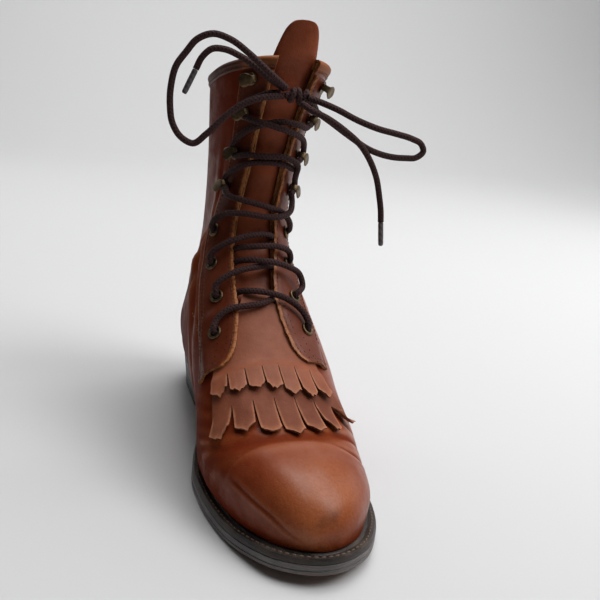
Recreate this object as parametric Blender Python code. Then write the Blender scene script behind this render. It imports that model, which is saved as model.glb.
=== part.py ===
"""Lace-up western boot for the left foot, with a two-layer fringed kiltie over the vamp.

Toe towards -Y, inner (medial) side towards -X, +Z up, standing on its heel and forefoot.
Tables are in millimetres: s runs from the toe tip of the outsole back to the heel.
"""

import math
from collections import namedtuple
from functools import lru_cache

import bmesh
import bpy
import numpy as np
from mathutils import Vector

for leftover in list(bpy.data.objects):
    bpy.data.objects.remove(leftover, do_unlink=True)

# Driving sizes in millimetres
MM = 0.001
MID_S = 139.031  # the s that lies on the origin's Y
MID_X = 2.017  # the x that lies on the origin's X
GAP = 0.3  # clearance between pieces that meet
WALL = 2.2  # leather and lining of the upper
OVERLAY = 1.5  # leather of eyestays and kiltie
OUTSOLE_THICK = 6.0
WELT_THICK = 3.2
INSOLE_THICK = 3.0
HEEL_BREAST_S = 210.0
TOP_LIFT_THICK = 6.0
LEAN = 0.07  # how far the slack shaft leans outwards for each mm of height
LEAN_FROM_Z = 90.0
LACE_RADIUS = 1.9
SHAFT_ROUND = 0.75  # the shaft's back, narrower than the heel below it
SHAFT_RISE = 45.0  # height over the heel seat where the shaft's own shape is reached
ANKLE_BLEND = 1.3  # how many sections either side are averaged at the ankle
ANKLE_STARTS = (16.5, 19.0)  # sections where the averaging comes in
ANKLE_ENDS = (21.5, 24.0)  # and where it goes out again
ANKLE_FADE = (0.5, 0.98)  # share of the way down a side where it goes out
HEEL_SWING = 5.0  # how far the heel swings to the outer side of the toe-heel line
SWING_S = (140.0, 280.0)
TOE_NORMAL = (0.0, -0.96, 0.28)

# Plan of the last's bottom edge, left foot: half-widths either side of the toe-heel line
Outline = namedtuple("Outline", "s medial lateral overhang")
FEATHER = [
    Outline(7, 0.0, 0.0, 7.0),
    Outline(11, 12.0, 12.5, 7.0),
    Outline(18, 20.5, 21.5, 7.0),
    Outline(28, 26.5, 28.5, 7.0),
    Outline(42, 32.5, 35.5, 7.0),
    Outline(58, 36.5, 40.0, 7.0),
    Outline(76, 39.0, 42.5, 7.0),
    Outline(97, 39.5, 43.5, 7.0),
    Outline(119, 36.5, 42.5, 6.0),
    Outline(144, 30.0, 39.0, 5.0),
    Outline(169, 25.5, 34.5, 4.2),
    Outline(194, 24.0, 31.3, 3.6),
    Outline(219, 25.0, 29.7, 3.2),
    Outline(244, 25.5, 27.5, 3.0),
    Outline(259, 23.5, 24.0, 3.0),
    Outline(269, 16.5, 17.0, 3.0),
    Outline(275, 0.0, 0.0, 3.0),
]

# Side profile of the tread: toe spring, flat forefoot, arch and heel seat
Tread = namedtuple("Tread", "s z")
TREAD = [
    Tread(-5, 7.8),
    Tread(0, 6.6),
    Tread(15, 4.2),
    Tread(32, 1.8),
    Tread(48, 0.3),
    Tread(60, 0.0),
    Tread(104, 0.0),
    Tread(119, 0.6),
    Tread(139, 3.2),
    Tread(164, 9.4),
    Tread(189, 16.4),
    Tread(209, 20.2),
    Tread(234, 22.0),
    Tread(284, 23.5),
]

# Sections of the upper from the toe to above the collar. Each lies in a plane from a base point,
# on the feather line or up the back, to a crest point on the vamp or the shaft's front.
Section = namedtuple("Section", "base_s rise crest_s crest_z medial lateral widest squareness ridge")
SECTIONS = [
    Section(7.0, 0, 7.0, 18.9, 0.0, 0.0, 0.40, 2.0, 0.0),
    Section(7.8, 0, 7.2, 24.0, 6.5, 6.5, 0.40, 2.0, 0.0),
    Section(10.2, 0, 9.5, 30.0, 11.5, 11.8, 0.38, 2.1, 0.0),
    Section(14.2, 0, 14.0, 35.6, 17.2, 17.8, 0.36, 2.1, 0.0),
    Section(20.0, 0, 21.0, 40.5, 22.6, 23.8, 0.34, 2.2, -0.5),
    Section(28.0, 0, 31.0, 44.4, 28.0, 30.0, 0.33, 2.2, -1.5),
    Section(40.0, 0, 43.0, 46.8, 34.0, 36.8, 0.32, 2.2, -2.5),
    Section(53.0, 0, 55.5, 48.2, 39.0, 41.0, 0.32, 2.2, -4.0),
    Section(67.0, 0, 68.0, 50.5, 42.5, 44.0, 0.32, 2.2, -5.5),
    Section(81.0, 0, 81.0, 56.0, 44.8, 46.2, 0.32, 2.2, -6.0),
    Section(96.0, 0, 94.5, 64.5, 45.5, 47.5, 0.34, 2.2, -6.5),
    Section(114.0, 0, 108.0, 74.5, 43.5, 47.3, 0.36, 2.2, -7.0),
    Section(136.0, 0, 121.0, 85.0, 40.5, 47.5, 0.40, 2.2, -7.0),
    Section(160.0, 0, 132.5, 95.0, 39.5, 46.5, 0.44, 2.2, -7.0),
    Section(184.0, 0, 142.0, 104.5, 39.8, 43.5, 0.46, 2.3, -7.0),
    Section(207.0, 0, 150.0, 113.5, 39.0, 41.5, 0.46, 2.3, -7.0),
    Section(228.0, 0, 156.0, 122.0, 37.2, 39.0, 0.45, 2.4, -7.0),
    Section(247.0, 0, 160.5, 130.5, 35.2, 35.7, 0.44, 2.4, -7.0),
    Section(261.0, 0, 164.0, 139.0, 34.5, 33.0, 0.44, 2.4, -7.0),
    Section(270.0, 0, 166.5, 147.0, 33.5, 30.8, 0.44, 2.4, -7.0),
    Section(275.0, 0, 168.0, 154.5, 31.5, 28.3, 0.44, 2.4, -6.5),
    Section(277.0, 17, 169.2, 163.5, 27.6, 26.0, 0.45, 2.4, -5.5),
    Section(277.0, 35, 170.0, 173.0, 24.3, 24.0, 0.46, 2.4, -4.5),
    Section(274.5, 60, 170.0, 185.0, 23.4, 23.6, 0.48, 2.4, -3.0),
    Section(270.0, 90, 169.5, 199.0, 25.0, 22.8, 0.50, 2.4, -1.5),
    Section(267.0, 121, 167.5, 214.0, 27.8, 24.5, 0.50, 2.4, 0.0),
    Section(266.5, 153, 165.0, 228.0, 31.4, 28.0, 0.50, 2.4, 1.5),
    Section(267.5, 183, 162.5, 240.0, 34.2, 31.0, 0.50, 2.4, 3.0),
    Section(270.0, 223, 158.5, 270.0, 35.5, 32.5, 0.50, 2.4, 4.0),
]
COLLAR_U = 27.0  # the section at the collar; the last one only carries the tongue

# Half-gap of the throat and the section where its slit starts
THROAT_U = 11.4
Throat = namedtuple("Throat", "u half_gap")
THROAT = [
    Throat(0, 0.1),
    Throat(4, 9.0),
    Throat(8, 13.0),
    Throat(11.4, 14.0),
    Throat(12.5, 13.0),
    Throat(13.5, 11.3),
    Throat(15, 12.0),
    Throat(17, 12.7),
    Throat(19.5, 12.0),
    Throat(22, 12.0),
    Throat(24.5, 12.5),
    Throat(27, 13.0),
    Throat(28, 13.0),
]


def smooth(table, name, at):
    """A column of a table at any value of its first column, by monotone cubic pieces."""
    x = np.array([row[0] for row in table], float)
    y = np.array([getattr(row, name) for row in table], float)
    return cubic(x, y, at)


def cubic(x, y, at):
    step = np.diff(x)
    rise = np.diff(y) / step
    slope = np.zeros_like(y)
    same = rise[:-1] * rise[1:] > 0
    w1 = 2 * step[1:] + step[:-1]
    w2 = step[1:] + 2 * step[:-1]
    mean = (w1 + w2) / np.where(same, w1 / np.where(same, rise[:-1], 1) + w2 / np.where(same, rise[1:], 1), 1)
    slope[1:-1] = np.where(same, mean, 0)
    slope[0] = rise[0]
    slope[-1] = rise[-1]
    at = np.clip(at, x[0], x[-1])
    k = np.clip(np.searchsorted(x, at, side="right") - 1, 0, len(step) - 1)
    f = (at - x[k]) / step[k]
    return (
        y[k] * (1 + 2 * f) * (1 - f) ** 2
        + step[k] * slope[k] * f * (1 - f) ** 2
        + y[k + 1] * f**2 * (3 - 2 * f)
        + step[k] * slope[k + 1] * f**2 * (f - 1)
    )


def soft_step(x, low, high):
    share = np.clip((x - low) / (high - low), 0, 1)
    return float(share * share * (3 - 2 * share))


def tread_z(s):
    return smooth(TREAD, "z", s)


def feather_z(s):
    """Height of the welt's top, where the upper's bottom edge stands."""
    return tread_z(s) + OUTSOLE_THICK + GAP + WELT_THICK


def ends_share(s):
    """s as a share of the last's length that moves slowly at the ends, where the outline turns."""
    first, last = FEATHER[0].s, FEATHER[-1].s
    span = np.clip((np.asarray(s, float) - first) / (last - first), 0, 1)
    return np.arccos(1 - 2 * span) / math.pi


def feather_half(s, side):
    """Half-width of the last's bottom edge on the medial (-1) or lateral (+1) side."""
    name = "medial" if side < 0 else "lateral"
    shares = ends_share([row.s for row in FEATHER])
    return cubic(shares, np.array([getattr(row, name) for row in FEATHER]), ends_share(s))


def plan_side(side, grow, count, first_share=0.0):
    """Points (x, s) of one side of the outline from toe to heel, grown past the feather line."""
    first, last = FEATHER[0].s, FEATHER[-1].s
    shares = first_share + (1 - first_share) * (np.arange(count) + 0.5) / count
    if first_share:
        shares[0] = first_share
    points = []
    for share in shares:
        ends = [np.clip(share + d, 0, 1) for d in (-0.004, 0.004)]
        near = [first + (last - first) * (1 - math.cos(math.pi * e)) / 2 for e in ends]
        a = np.array([side * feather_half(near[0], side), near[0]])
        b = np.array([side * feather_half(near[1], side), near[1]])
        along = (b - a) / np.linalg.norm(b - a)
        out = side * np.array([along[1], -along[0]])
        s = first + (last - first) * (1 - math.cos(math.pi * share)) / 2
        at = np.array([side * feather_half(s, side), s])
        points.append(at + out * grow(s))
    return points


def overhang(s):
    return smooth(FEATHER, "overhang", s)


def lean(z):
    """Sideways shift of the shaft, starting softly above the ankle."""
    over = np.maximum(z - LEAN_FROM_Z, 0.0)
    soft = 25.0
    return LEAN * np.where(over < soft, over**2 / (2 * soft), over - soft / 2)


@lru_cache(maxsize=None)
def half_loop(u, side):
    """One side of the section at u, from the crest to the base, and the length along it.

    Below its widest point the wall rises straight over the feather line and swells outwards from it.
    """
    row = {name: float(cubic_u(name, u)) for name in Section._fields}
    base_z = float(feather_z(row["base_s"])) + 2 * GAP + row["rise"]
    back = FEATHER[-1].s
    behind = (row["base_s"] - back) * max(0.0, min(1.0, row["rise"] / 2.0))
    if u <= 0:
        row["crest_z"] = base_z
    power = 2 / row["squareness"]
    turn = np.linspace(0, math.pi / 2, 24)
    high = row["widest"] + (1 - row["widest"]) * np.sin(turn[::-1]) ** power
    low = row["widest"] * (1 - np.sin(turn) ** power)
    run = row["crest_s"] - row["base_s"]
    foot = feather_half(np.minimum(row["base_s"] + run * low - behind, back), side)
    wide = row["medial" if side < 0 else "lateral"]
    shaft = soft_step(row["rise"], 0.0, SHAFT_RISE)
    if shaft > 0:
        foot = foot * (1 - shaft + shaft * min(1.0, SHAFT_ROUND * wide / float(foot[0])))
    wide = max(wide, float(foot[0]))
    high_w = wide * np.abs(np.cos(turn[::-1])) ** power
    low_w = foot + (wide - foot[0]) * np.abs(np.cos(turn)) ** power
    share = np.concatenate([high, low[1:]])
    half = np.concatenate([high_w, low_w[1:]])
    z = base_z + (row["crest_z"] - base_z) * share
    s = row["base_s"] + run * share
    on_top = np.clip((share - row["widest"]) / (1 - row["widest"]), 0, 1)
    x = row["ridge"] * on_top + side * half + lean(z)
    points = np.stack([x, s, z], axis=1)
    length = np.concatenate([[0], np.cumsum(np.linalg.norm(np.diff(points, axis=0), axis=1))])
    return points, length


def cubic_u(name, u):
    return cubic(np.arange(len(SECTIONS), dtype=float), np.array([getattr(r, name) for r in SECTIONS]), u)


def girth(u, side):
    return half_loop(round(float(u), 5), side)[1][-1]


def on_section(u, v):
    side = -1 if v < 0 else 1
    points, length = half_loop(round(float(u), 5), side)
    at = abs(v) * length[-1]
    return np.array([np.interp(at, length, points[:, k]) for k in range(3)])


def on_skin(u, v):
    """A point of the upper's outer face. v runs from -1, medial base, by 0, crest, to 1.

    Where the foot turns into the shaft, neighbouring sections are averaged above the heel.
    """
    spread = ANKLE_BLEND * soft_step(u, *ANKLE_STARTS) * (1 - soft_step(u, *ANKLE_ENDS))
    spread *= 1 - soft_step(abs(v), *ANKLE_FADE)
    if spread < 0.02:
        return on_section(u, v)
    near = [on_section(u + spread * step, v) for step in (-1.0, -0.5, 0.0, 0.5, 1.0)]
    return np.average(near, axis=0, weights=(1, 2, 3, 2, 1))


def skin(u, v, lift=0.0):
    """A point at a height over the upper's outer face."""
    du, dv = 0.02, 0.02
    last = len(SECTIONS) - 1.0
    along = on_skin(min(u + du, last), v) - on_skin(max(u - du, 0.05), v)
    across = on_skin(max(u, 0.05), min(v + dv, 1)) - on_skin(max(u, 0.05), max(v - dv, -1))
    normal = np.cross(across, along)
    normal /= np.linalg.norm(normal)
    if u < 0.05:
        normal = np.array(TOE_NORMAL)
    return on_skin(u, v) + normal * lift


def beside(u, distance, lift=0.0):
    """A point at a distance round from the crest, medial if negative."""
    side = -1 if distance < 0 else 1
    return skin(u, distance / girth(u, side), lift)


def half_gap(u):
    return float(smooth(THROAT, "half_gap", u))


def leather(name, colour, rough, metal=0.0):
    made = bpy.data.materials.new(name)
    made.use_nodes = True
    shader = made.node_tree.nodes["Principled BSDF"]
    shader.inputs["Base Color"].default_value = (*colour, 1.0)
    shader.inputs["Roughness"].default_value = rough
    shader.inputs["Metallic"].default_value = metal
    return made


BROWN = leather("brown_leather", (0.19, 0.055, 0.022), 0.35)
DARK_BROWN = leather("dark_binding", (0.07, 0.028, 0.018), 0.5)
BLACK = leather("black_edge", (0.018, 0.014, 0.013), 0.5)
TAN = leather("tan_insole", (0.35, 0.2, 0.1), 0.7)
LACE = leather("lace_braid", (0.05, 0.02, 0.018), 0.8)
BRASS = leather("antique_brass", (0.2, 0.14, 0.07), 0.35, 1.0)


def place(point):
    """A table point in metres, with the last's swing towards the heel."""
    x, s, z = point
    swing = HEEL_SWING * soft_step(s, *SWING_S)
    return Vector(((x + swing - MID_X) * MM, (s - MID_S) * MM, z * MM))


def add_object(name, bm, material):
    bmesh.ops.recalc_face_normals(bm, faces=bm.faces)
    mesh = bpy.data.meshes.new(name)
    bm.to_mesh(mesh)
    bm.free()
    mesh.materials.append(material)
    mesh.shade_smooth()
    mesh.set_sharp_from_angle(angle=math.radians(35))
    made = bpy.data.objects.new(name, mesh)
    bpy.context.scene.collection.objects.link(made)
    return made


def shell(name, outer, inner, filled, material):
    """A wall between two like grids of points. Only the filled cells are there."""
    rows, columns = len(outer), len(outer[0])
    known = {}
    number = np.zeros((rows, columns), int)
    bm = bmesh.new()
    tops, bottoms = [], []
    for i in range(rows):
        for j in range(columns):
            key = tuple(np.round(outer[i][j], 3))
            if key not in known:
                known[key] = len(tops)
                tops.append(outer[i][j])
                bottoms.append(inner[i][j])
            number[i, j] = known[key]
    cells = []
    for i in range(rows - 1):
        for j in range(columns - 1):
            if not filled(i, j):
                continue
            ring = [number[i, j], number[i, j + 1], number[i + 1, j + 1], number[i + 1, j]]
            ring = [n for k, n in enumerate(ring) if n != ring[k - 1]]
            if len(ring) > 2:
                cells.append(ring)
    used = sorted({n for ring in cells for n in ring})
    top = {n: bm.verts.new(place(tops[n])) for n in used}
    low = {n: bm.verts.new(place(bottoms[n])) for n in used}
    edges = {(a, b) for ring in cells for a, b in zip(ring, ring[1:] + ring[:1])}
    for ring in cells:
        bm.faces.new([top[n] for n in ring])
        bm.faces.new([low[n] for n in reversed(ring)])
    for a, b in edges:
        if (b, a) not in edges:
            bm.faces.new((top[b], top[a], low[a], low[b]))
    return add_object(name, bm, material)


def stack(name, loops, material):
    """A closed solid through like loops, each running back along one side and forward on the other."""
    bm = bmesh.new()
    count = len(loops[0])
    rings = [[bm.verts.new(place(p)) for p in loop] for loop in loops]
    for low, high in zip(rings, rings[1:]):
        for k in range(count):
            n = (k + 1) % count
            bm.faces.new((low[k], low[n], high[n], high[k]))
    for ring in (rings[0], rings[-1]):
        for k in range(count // 2 - 1):
            bm.faces.new((ring[k], ring[k + 1], ring[count - 2 - k], ring[count - 1 - k]))
    return add_object(name, bm, material)


def plan_loop(grow, height, count, first_share=0.0):
    """A closed loop round the outline at a height that follows s."""
    medial = plan_side(-1, grow, count, first_share)
    lateral = plan_side(1, grow, count, first_share)
    flat = medial + lateral[::-1]
    return [np.array([x, s, float(height(s))]) for x, s in flat]


# Outsole: leather-and-rubber unit with a groove along its edge
PLAN_COUNT = 26
OUTSOLE_EDGE = [(0.0, 1.2), (0.8, 0.2), (2.3, 0.0), (2.7, 0.7), (3.4, 0.7), (3.8, 0.0), (OUTSOLE_THICK, 0.0)]


def build_outsole():
    loops = []
    for height, inset in OUTSOLE_EDGE:
        loops.append(
            plan_loop(lambda s, i=inset: overhang(s) - i, lambda s, h=height: tread_z(s) + h, PLAN_COUNT)
        )
    stack("outsole", loops, BLACK)


# Welt: a strip round the feather line, stitched to the outsole
WELT_INNER = 6.0
WELT_INSET = 0.4


def build_welt():
    outer = plan_loop(lambda s: overhang(s) - WELT_INSET, lambda s: 0.0, PLAN_COUNT)
    inner = plan_loop(lambda s: -WELT_INNER, lambda s: 0.0, PLAN_COUNT)
    outer.append(outer[0])
    inner.append(inner[0])
    low = OUTSOLE_THICK + GAP
    top_rows = []
    low_rows = []
    for line in (outer, inner):
        top_rows.append([np.array([p[0], p[1], float(tread_z(p[1])) + low + WELT_THICK]) for p in line])
        low_rows.append([np.array([p[0], p[1], float(tread_z(p[1])) + low]) for p in line])
    shell("welt", top_rows, low_rows, lambda i, j: True, BLACK)


# Heel: stacked block and its top lift, flat on the ground
HEEL_COUNT = 14
HEEL_INSET = 0.3
HEEL_RAKE = 3.0  # how far the block's foot stands forward of its top
HEEL_NARROWS = 0.1  # share of its width lost towards the foot
CAP_NARROWS = 0.015


def build_heel():
    first = float(ends_share(HEEL_BREAST_S))
    top = plan_loop(lambda s: overhang(s) - HEEL_INSET, lambda s: tread_z(s) - GAP, HEEL_COUNT, first)
    split = TOP_LIFT_THICK + GAP
    low = []
    for p in top:
        share = (p[2] - split) / p[2]
        low.append(np.array([p[0] * (1 - HEEL_NARROWS * share), p[1] - HEEL_RAKE * share, split]))
    stack("heel", [low, top], BLACK)
    foot = []
    rim = []
    for p in low:
        rim.append(np.array([p[0], p[1], TOP_LIFT_THICK]))
        foot.append(np.array([p[0] * (1 - CAP_NARROWS), p[1], 0.0]))
    stack("heel_cap", [foot, rim], BLACK)


# Upper: one hollow leather wall, open at the collar, along the throat and underneath
UPPER_STATIONS = (0, 0.5, 1, 1.6, 2.3, 3, 4, 5, 6, 7, 8, 9, 10, THROAT_U, 12.4, 13.4, 14.4, 15.4, 16.4,
                  17.4, 18.4, 19.3, 20, 20.8, 21.8, 23, 24, 25, 26, COLLAR_U)
ACROSS_THROAT = 4
ROUND_SIDE = 10


def skin_columns(u):
    """v of the grid's columns: even round each side, with one on each edge of the throat."""
    medial = half_gap(u) / girth(u, -1) if u > 0.01 else 0.2
    lateral = half_gap(u) / girth(u, 1) if u > 0.01 else 0.2
    left = np.linspace(-1, -medial, ROUND_SIDE + 1)
    right = np.linspace(lateral, 1, ROUND_SIDE + 1)
    middle = np.linspace(-medial, lateral, ACROSS_THROAT + 1)
    return np.concatenate([left, middle[1:-1], right])


def build_upper():
    outer = []
    inner = []
    for u in UPPER_STATIONS:
        columns = skin_columns(u)
        outer.append([skin(u, v) for v in columns])
        inner.append([skin(u, v, -WALL) for v in columns])
    for row in inner:
        for point in row:
            point[2] = max(point[2], float(feather_z(point[1])) + 2 * GAP)
    slit = UPPER_STATIONS.index(THROAT_U)
    throat = range(ROUND_SIDE, ROUND_SIDE + ACROSS_THROAT)
    return shell("upper", outer, inner, lambda i, j: i < slit or j not in throat, BROWN)


# Insole: a board inside the upper, on the welt
INSOLE_COUNT = 22


def build_insole():
    inset = WALL + 4 * GAP
    low = plan_loop(lambda s: -inset, lambda s: feather_z(s) + GAP, INSOLE_COUNT)
    high = plan_loop(lambda s: -inset, lambda s: feather_z(s) + GAP + INSOLE_THICK, INSOLE_COUNT)
    stack("insole", [low, high], TAN)


# Tongue: a strip of leather behind the throat, from inside the vamp to above the collar
TONGUE_THICK = 2.2
TONGUE_ROWS = 17
TONGUE_COLUMNS = 7
BEHIND_BINDING = 1.4  # how far it sinks behind the collar's binding
SINK_U = (24.9, 26.2)
Tongue = namedtuple("Tongue", "u half_width")
TONGUE = [
    Tongue(10.6, 17.0),
    Tongue(12.0, 19.5),
    Tongue(20.0, 19.5),
    Tongue(25.0, 19.0),
    Tongue(27.0, 17.0),
    Tongue(27.6, 15.5),
    Tongue(27.75, 11.0),
]


def build_tongue():
    outer = []
    inner = []
    for u in np.linspace(TONGUE[0].u, TONGUE[-1].u, TONGUE_ROWS):
        half = float(smooth(TONGUE, "half_width", u))
        across = np.linspace(-half, half, TONGUE_COLUMNS)
        top = -(WALL + 5 * GAP) - BEHIND_BINDING * soft_step(u, *SINK_U)
        outer.append([beside(u, d, top) for d in across])
        inner.append([beside(u, d, top - TONGUE_THICK) for d in across])
    shell("tongue", outer, inner, lambda i, j: True, BROWN)


# Kiltie: two layers of leather over the vamp, each cut into pointed strips at its front end
Panel = namedtuple("Panel", "u medial lateral")
KILTIE_UPPER = [
    Panel(14.1, 4.0, 4.0),
    Panel(13.9, 7.5, 7.5),
    Panel(13.4, 10.4, 10.4),
    Panel(12.8, 15.5, 15.5),
    Panel(12.2, 21.5, 21.5),
    Panel(11.6, 28.5, 29.0),
    Panel(11.0, 31.5, 32.5),
    Panel(10.7, 32.5, 33.5),
]
KILTIE_LOWER = [
    Panel(10.5, 33.0, 36.0),
    Panel(10.0, 35.0, 41.0),
    Panel(9.5, 36.5, 46.0),
]
Strip = namedtuple("Strip", "tip_u curl")
STRIPS_UPPER = [
    Strip(10.0, 0.3),
    Strip(9.8, 0.6),
    Strip(9.75, 0.4),
    Strip(9.7, 0.8),
    Strip(9.55, 0.5),
    Strip(9.55, 0.7),
    Strip(9.7, 1.2),
]
STRIPS_LOWER = [
    Strip(8.5, 0.6),
    Strip(8.05, 0.3),
    Strip(7.75, 0.6),
    Strip(7.55, 0.3),
    Strip(7.65, 0.8),
    Strip(8.15, 0.5),
    Strip(9.1, 3.0),
]
LAYER_GAP = 0.5  # clearance between layers that bend over each other
SLIT = 0.9
STRIP_SHARES = (0.4, 0.8)  # rows of a strip between its root and its tip; the last is its shoulder
CLIMB_U = (10.6, 11.0)


def kiltie_lift(layer, u):
    """Layer 0 lies on the vamp. Layer 1 lies on it too, and climbs onto layer 0 at that one's top edge."""
    return LAYER_GAP + layer * (OVERLAY + LAYER_GAP) * (1 - soft_step(u, *CLIMB_U))


def build_kiltie(name, panel, strips, layer):
    """Rows across the panel, then the strips, each with two edges and a centre line to its point."""
    count = len(strips)
    rows = []
    for row in panel:
        rows.append([(row.u, row.medial, row.lateral, 0.0)] * count)
    root = panel[-1]
    for share in STRIP_SHARES + (1.0,):
        row = []
        for strip in strips:
            at_u = root.u + (strip.tip_u - root.u) * share
            row.append((at_u, root.medial, root.lateral, strip.curl * share**2))
        rows.append(row)
    outer = []
    inner = []
    for number, row in enumerate(rows):
        top = []
        low = []
        for k, (u, medial, lateral, curl) in enumerate(row):
            width = medial + lateral
            left = -medial + width * k / count + (SLIT / 2 if k else 0)
            right = -medial + width * (k + 1) / count - (SLIT / 2 if k < count - 1 else 0)
            for place_in_strip, d in enumerate((left, (left + right) / 2, right)):
                at_u, rise = u, curl
                if number == len(rows) - 1 and place_in_strip != 1:
                    at_u, rise = rows[-2][k][0], rows[-2][k][3]
                rise += kiltie_lift(layer, at_u)
                low.append(beside(at_u, d, rise))
                top.append(beside(at_u, d, rise + OVERLAY))
        outer.append(top)
        inner.append(low)
    first_strip_row = len(panel) - 1
    shell(name, outer, inner, lambda i, j: i < first_strip_row or j % 3 != 2, BROWN)


# Eyestays: facings over the edges of the throat, with a rounded flap at the lower end
Facing = namedtuple("Facing", "share front_u front rear_u rear")
FACING = [
    Facing(0.0, 11.05, 25.0, 11.45, 45.0),
    Facing(0.02, 11.2, 20.5, 11.7, 44.5),
    Facing(0.05, 11.55, 16.5, 12.1, 43.0),
    Facing(0.1, 12.2, 13.6, 12.8, 40.0),
    Facing(0.18, 13.3, 11.4, 13.8, 38.0),
    Facing(0.28, 14.9, 12.0, 15.1, 37.0),
    Facing(0.4, 17.0, 12.7, 17.0, 37.5),
    Facing(0.55, 19.5, 12.0, 19.5, 38.5),
    Facing(0.7, 22.0, 12.0, 22.0, 38.0),
    Facing(0.85, 24.5, 12.5, 24.5, 36.0),
    Facing(1.0, 26.55, 13.0, 26.55, 35.0),
]
FACING_SHARES = (0, 0.02, 0.05, 0.09, 0.14, 0.18, 0.22, 0.28, 0.36, 0.45, 0.55, 0.66, 0.74, 0.82, 0.91, 1)
FACING_COLUMNS = 5
RAISED_TO = 34.5  # past the lowest eyelet, so that it sits level
RAISED_FADE = 8.0
KILTIE_BESIDE = 2.0
KILTIE_END_U = (13.2, 13.8)


def facing_lift(u, distance):
    """Height of the eyestay's underside: over the kiltie near the flap, on the upper elsewhere."""
    under = 1 - soft_step(u, *KILTIE_END_U)
    half = float(smooth(sorted(KILTIE_UPPER), "lateral", u))
    raised = max(half + KILTIE_BESIDE, RAISED_TO)
    over = under * (1 - soft_step(distance, raised, raised + RAISED_FADE))
    return LAYER_GAP + over * (kiltie_lift(1, u) + OVERLAY)


def facing_top(u, distance):
    return facing_lift(u, distance) + OVERLAY


def build_eyestay(name, side):
    outer = []
    inner = []
    for share in FACING_SHARES:
        edge = {key: float(smooth(FACING, key, share)) for key in Facing._fields[1:]}
        top = []
        low = []
        for f in np.linspace(0, 1, FACING_COLUMNS):
            u = edge["front_u"] + (edge["rear_u"] - edge["front_u"]) * f
            d = edge["front"] + (edge["rear"] - edge["front"]) * f
            low.append(beside(u, side * d, facing_lift(u, d)))
            top.append(beside(u, side * d, facing_top(u, d)))
        outer.append(top)
        inner.append(low)
    return shell(name, outer, inner, lambda i, j: True, BROWN)


# Collar binding: a folded strip over the collar's edge
BINDING_THICK = 1.2
BINDING_DEPTH = 5.0
BINDING_CLEAR = 0.5  # over the collar's edge
BINDING_SHOULDER = 0.8  # where its rounded top starts


def sweep(name, rings, material, closed_path=False):
    """A closed solid through like closed rings of points."""
    bm = bmesh.new()
    made = [[bm.verts.new(place(p)) for p in ring] for ring in rings]
    count = len(rings[0])
    pairs = list(zip(made, made[1:]))
    if closed_path:
        pairs.append((made[-1], made[0]))
    for a, b in pairs:
        for k in range(count):
            n = (k + 1) % count
            bm.faces.new((a[k], a[n], b[n], b[k]))
    if not closed_path:
        bm.faces.new(made[0])
        bm.faces.new(made[-1])
    return add_object(name, bm, material)


def build_binding():
    out = LAYER_GAP
    far = -WALL - LAYER_GAP
    crown = BINDING_CLEAR + BINDING_THICK
    profile = [
        (out, -BINDING_DEPTH),
        (out + BINDING_THICK, -BINDING_DEPTH),
        (out + BINDING_THICK, BINDING_SHOULDER),
        (out, crown),
        (far, crown),
        (far - BINDING_THICK, BINDING_SHOULDER),
        (far - BINDING_THICK, -BINDING_DEPTH),
        (far, -BINDING_DEPTH),
        (far, BINDING_CLEAR),
        (out, BINDING_CLEAR),
    ]
    below_u = UPPER_STATIONS[-2]
    columns = list(zip(skin_columns(COLLAR_U), skin_columns(below_u)))
    rings = []
    for v, below_v in columns[ROUND_SIDE::-1] + columns[:-ROUND_SIDE - 1:-1][1:]:
        edge = skin(COLLAR_U, v)
        normal = skin(COLLAR_U, v, 1.0) - edge
        up = edge - skin(below_u, below_v)
        up /= np.linalg.norm(up)
        rings.append([edge + normal * lift + up * height for lift, height in profile])
    sweep("collar_binding", rings, DARK_BROWN)


# Metal: four eyelets and four hooks a side
Fitting = namedtuple("Fitting", "u medial lateral")
EYELETS = [
    Fitting(12.5, 25.7, 29.5),
    Fitting(14.1, 23.0, 26.0),
    Fitting(16.15, 26.0, 24.0),
    Fitting(18.75, 28.0, 26.5),
]
HOOKS = [
    Fitting(21.9, 29.0, 25.5),
    Fitting(23.55, 27.2, 25.0),
    Fitting(24.95, 25.4, 24.5),
    Fitting(26.2, 25.4, 24.0),
]
FITTING_GAP = 0.55  # under a flat fitting on the curved eyestay
EYELET_HOLE = 2.4
EYELET_BARREL = 3.0
EYELET_FLANGE = 4.3
EYELET_RISE = 1.3
EYELET_CROWN = 0.4
EYELET_LIP = 0.6
EYELET_SIDES = 8
DRILL_PLAY = 0.35
DRILL_REACH = (-10.0, 6.0)
SIDES = {"medial": -1, "lateral": 1}


def reach(fitting, side):
    """A fitting's distance round from the crest, medial negative."""
    return -fitting.medial if side < 0 else fitting.lateral


def on_facing(u, distance, lift=0.0):
    """A point at a height over the eyestay's top face."""
    return beside(u, distance, facing_top(u, abs(distance)) + lift)


def local_frame(u, distance, lift):
    """Origin, outward (away from the throat), upward and normal directions at a place on the eyestay."""
    side = -1 if distance < 0 else 1
    outward = side * (on_facing(u, distance + 2.0) - on_facing(u, distance - 2.0))
    outward /= np.linalg.norm(outward)
    upward = on_facing(u + 0.2, distance) - on_facing(u - 0.2, distance)
    upward -= outward * np.dot(upward, outward)
    upward /= np.linalg.norm(upward)
    normal = side * np.cross(outward, upward)
    return on_facing(u, distance) + normal * lift, outward, upward, normal


def ring_at(frame, radius, height, count):
    at, outward, upward, normal = frame
    turns = np.arange(count) * 2 * math.pi / count
    return [at + radius * (math.cos(t) * outward + math.sin(t) * upward) + height * normal for t in turns]


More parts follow.
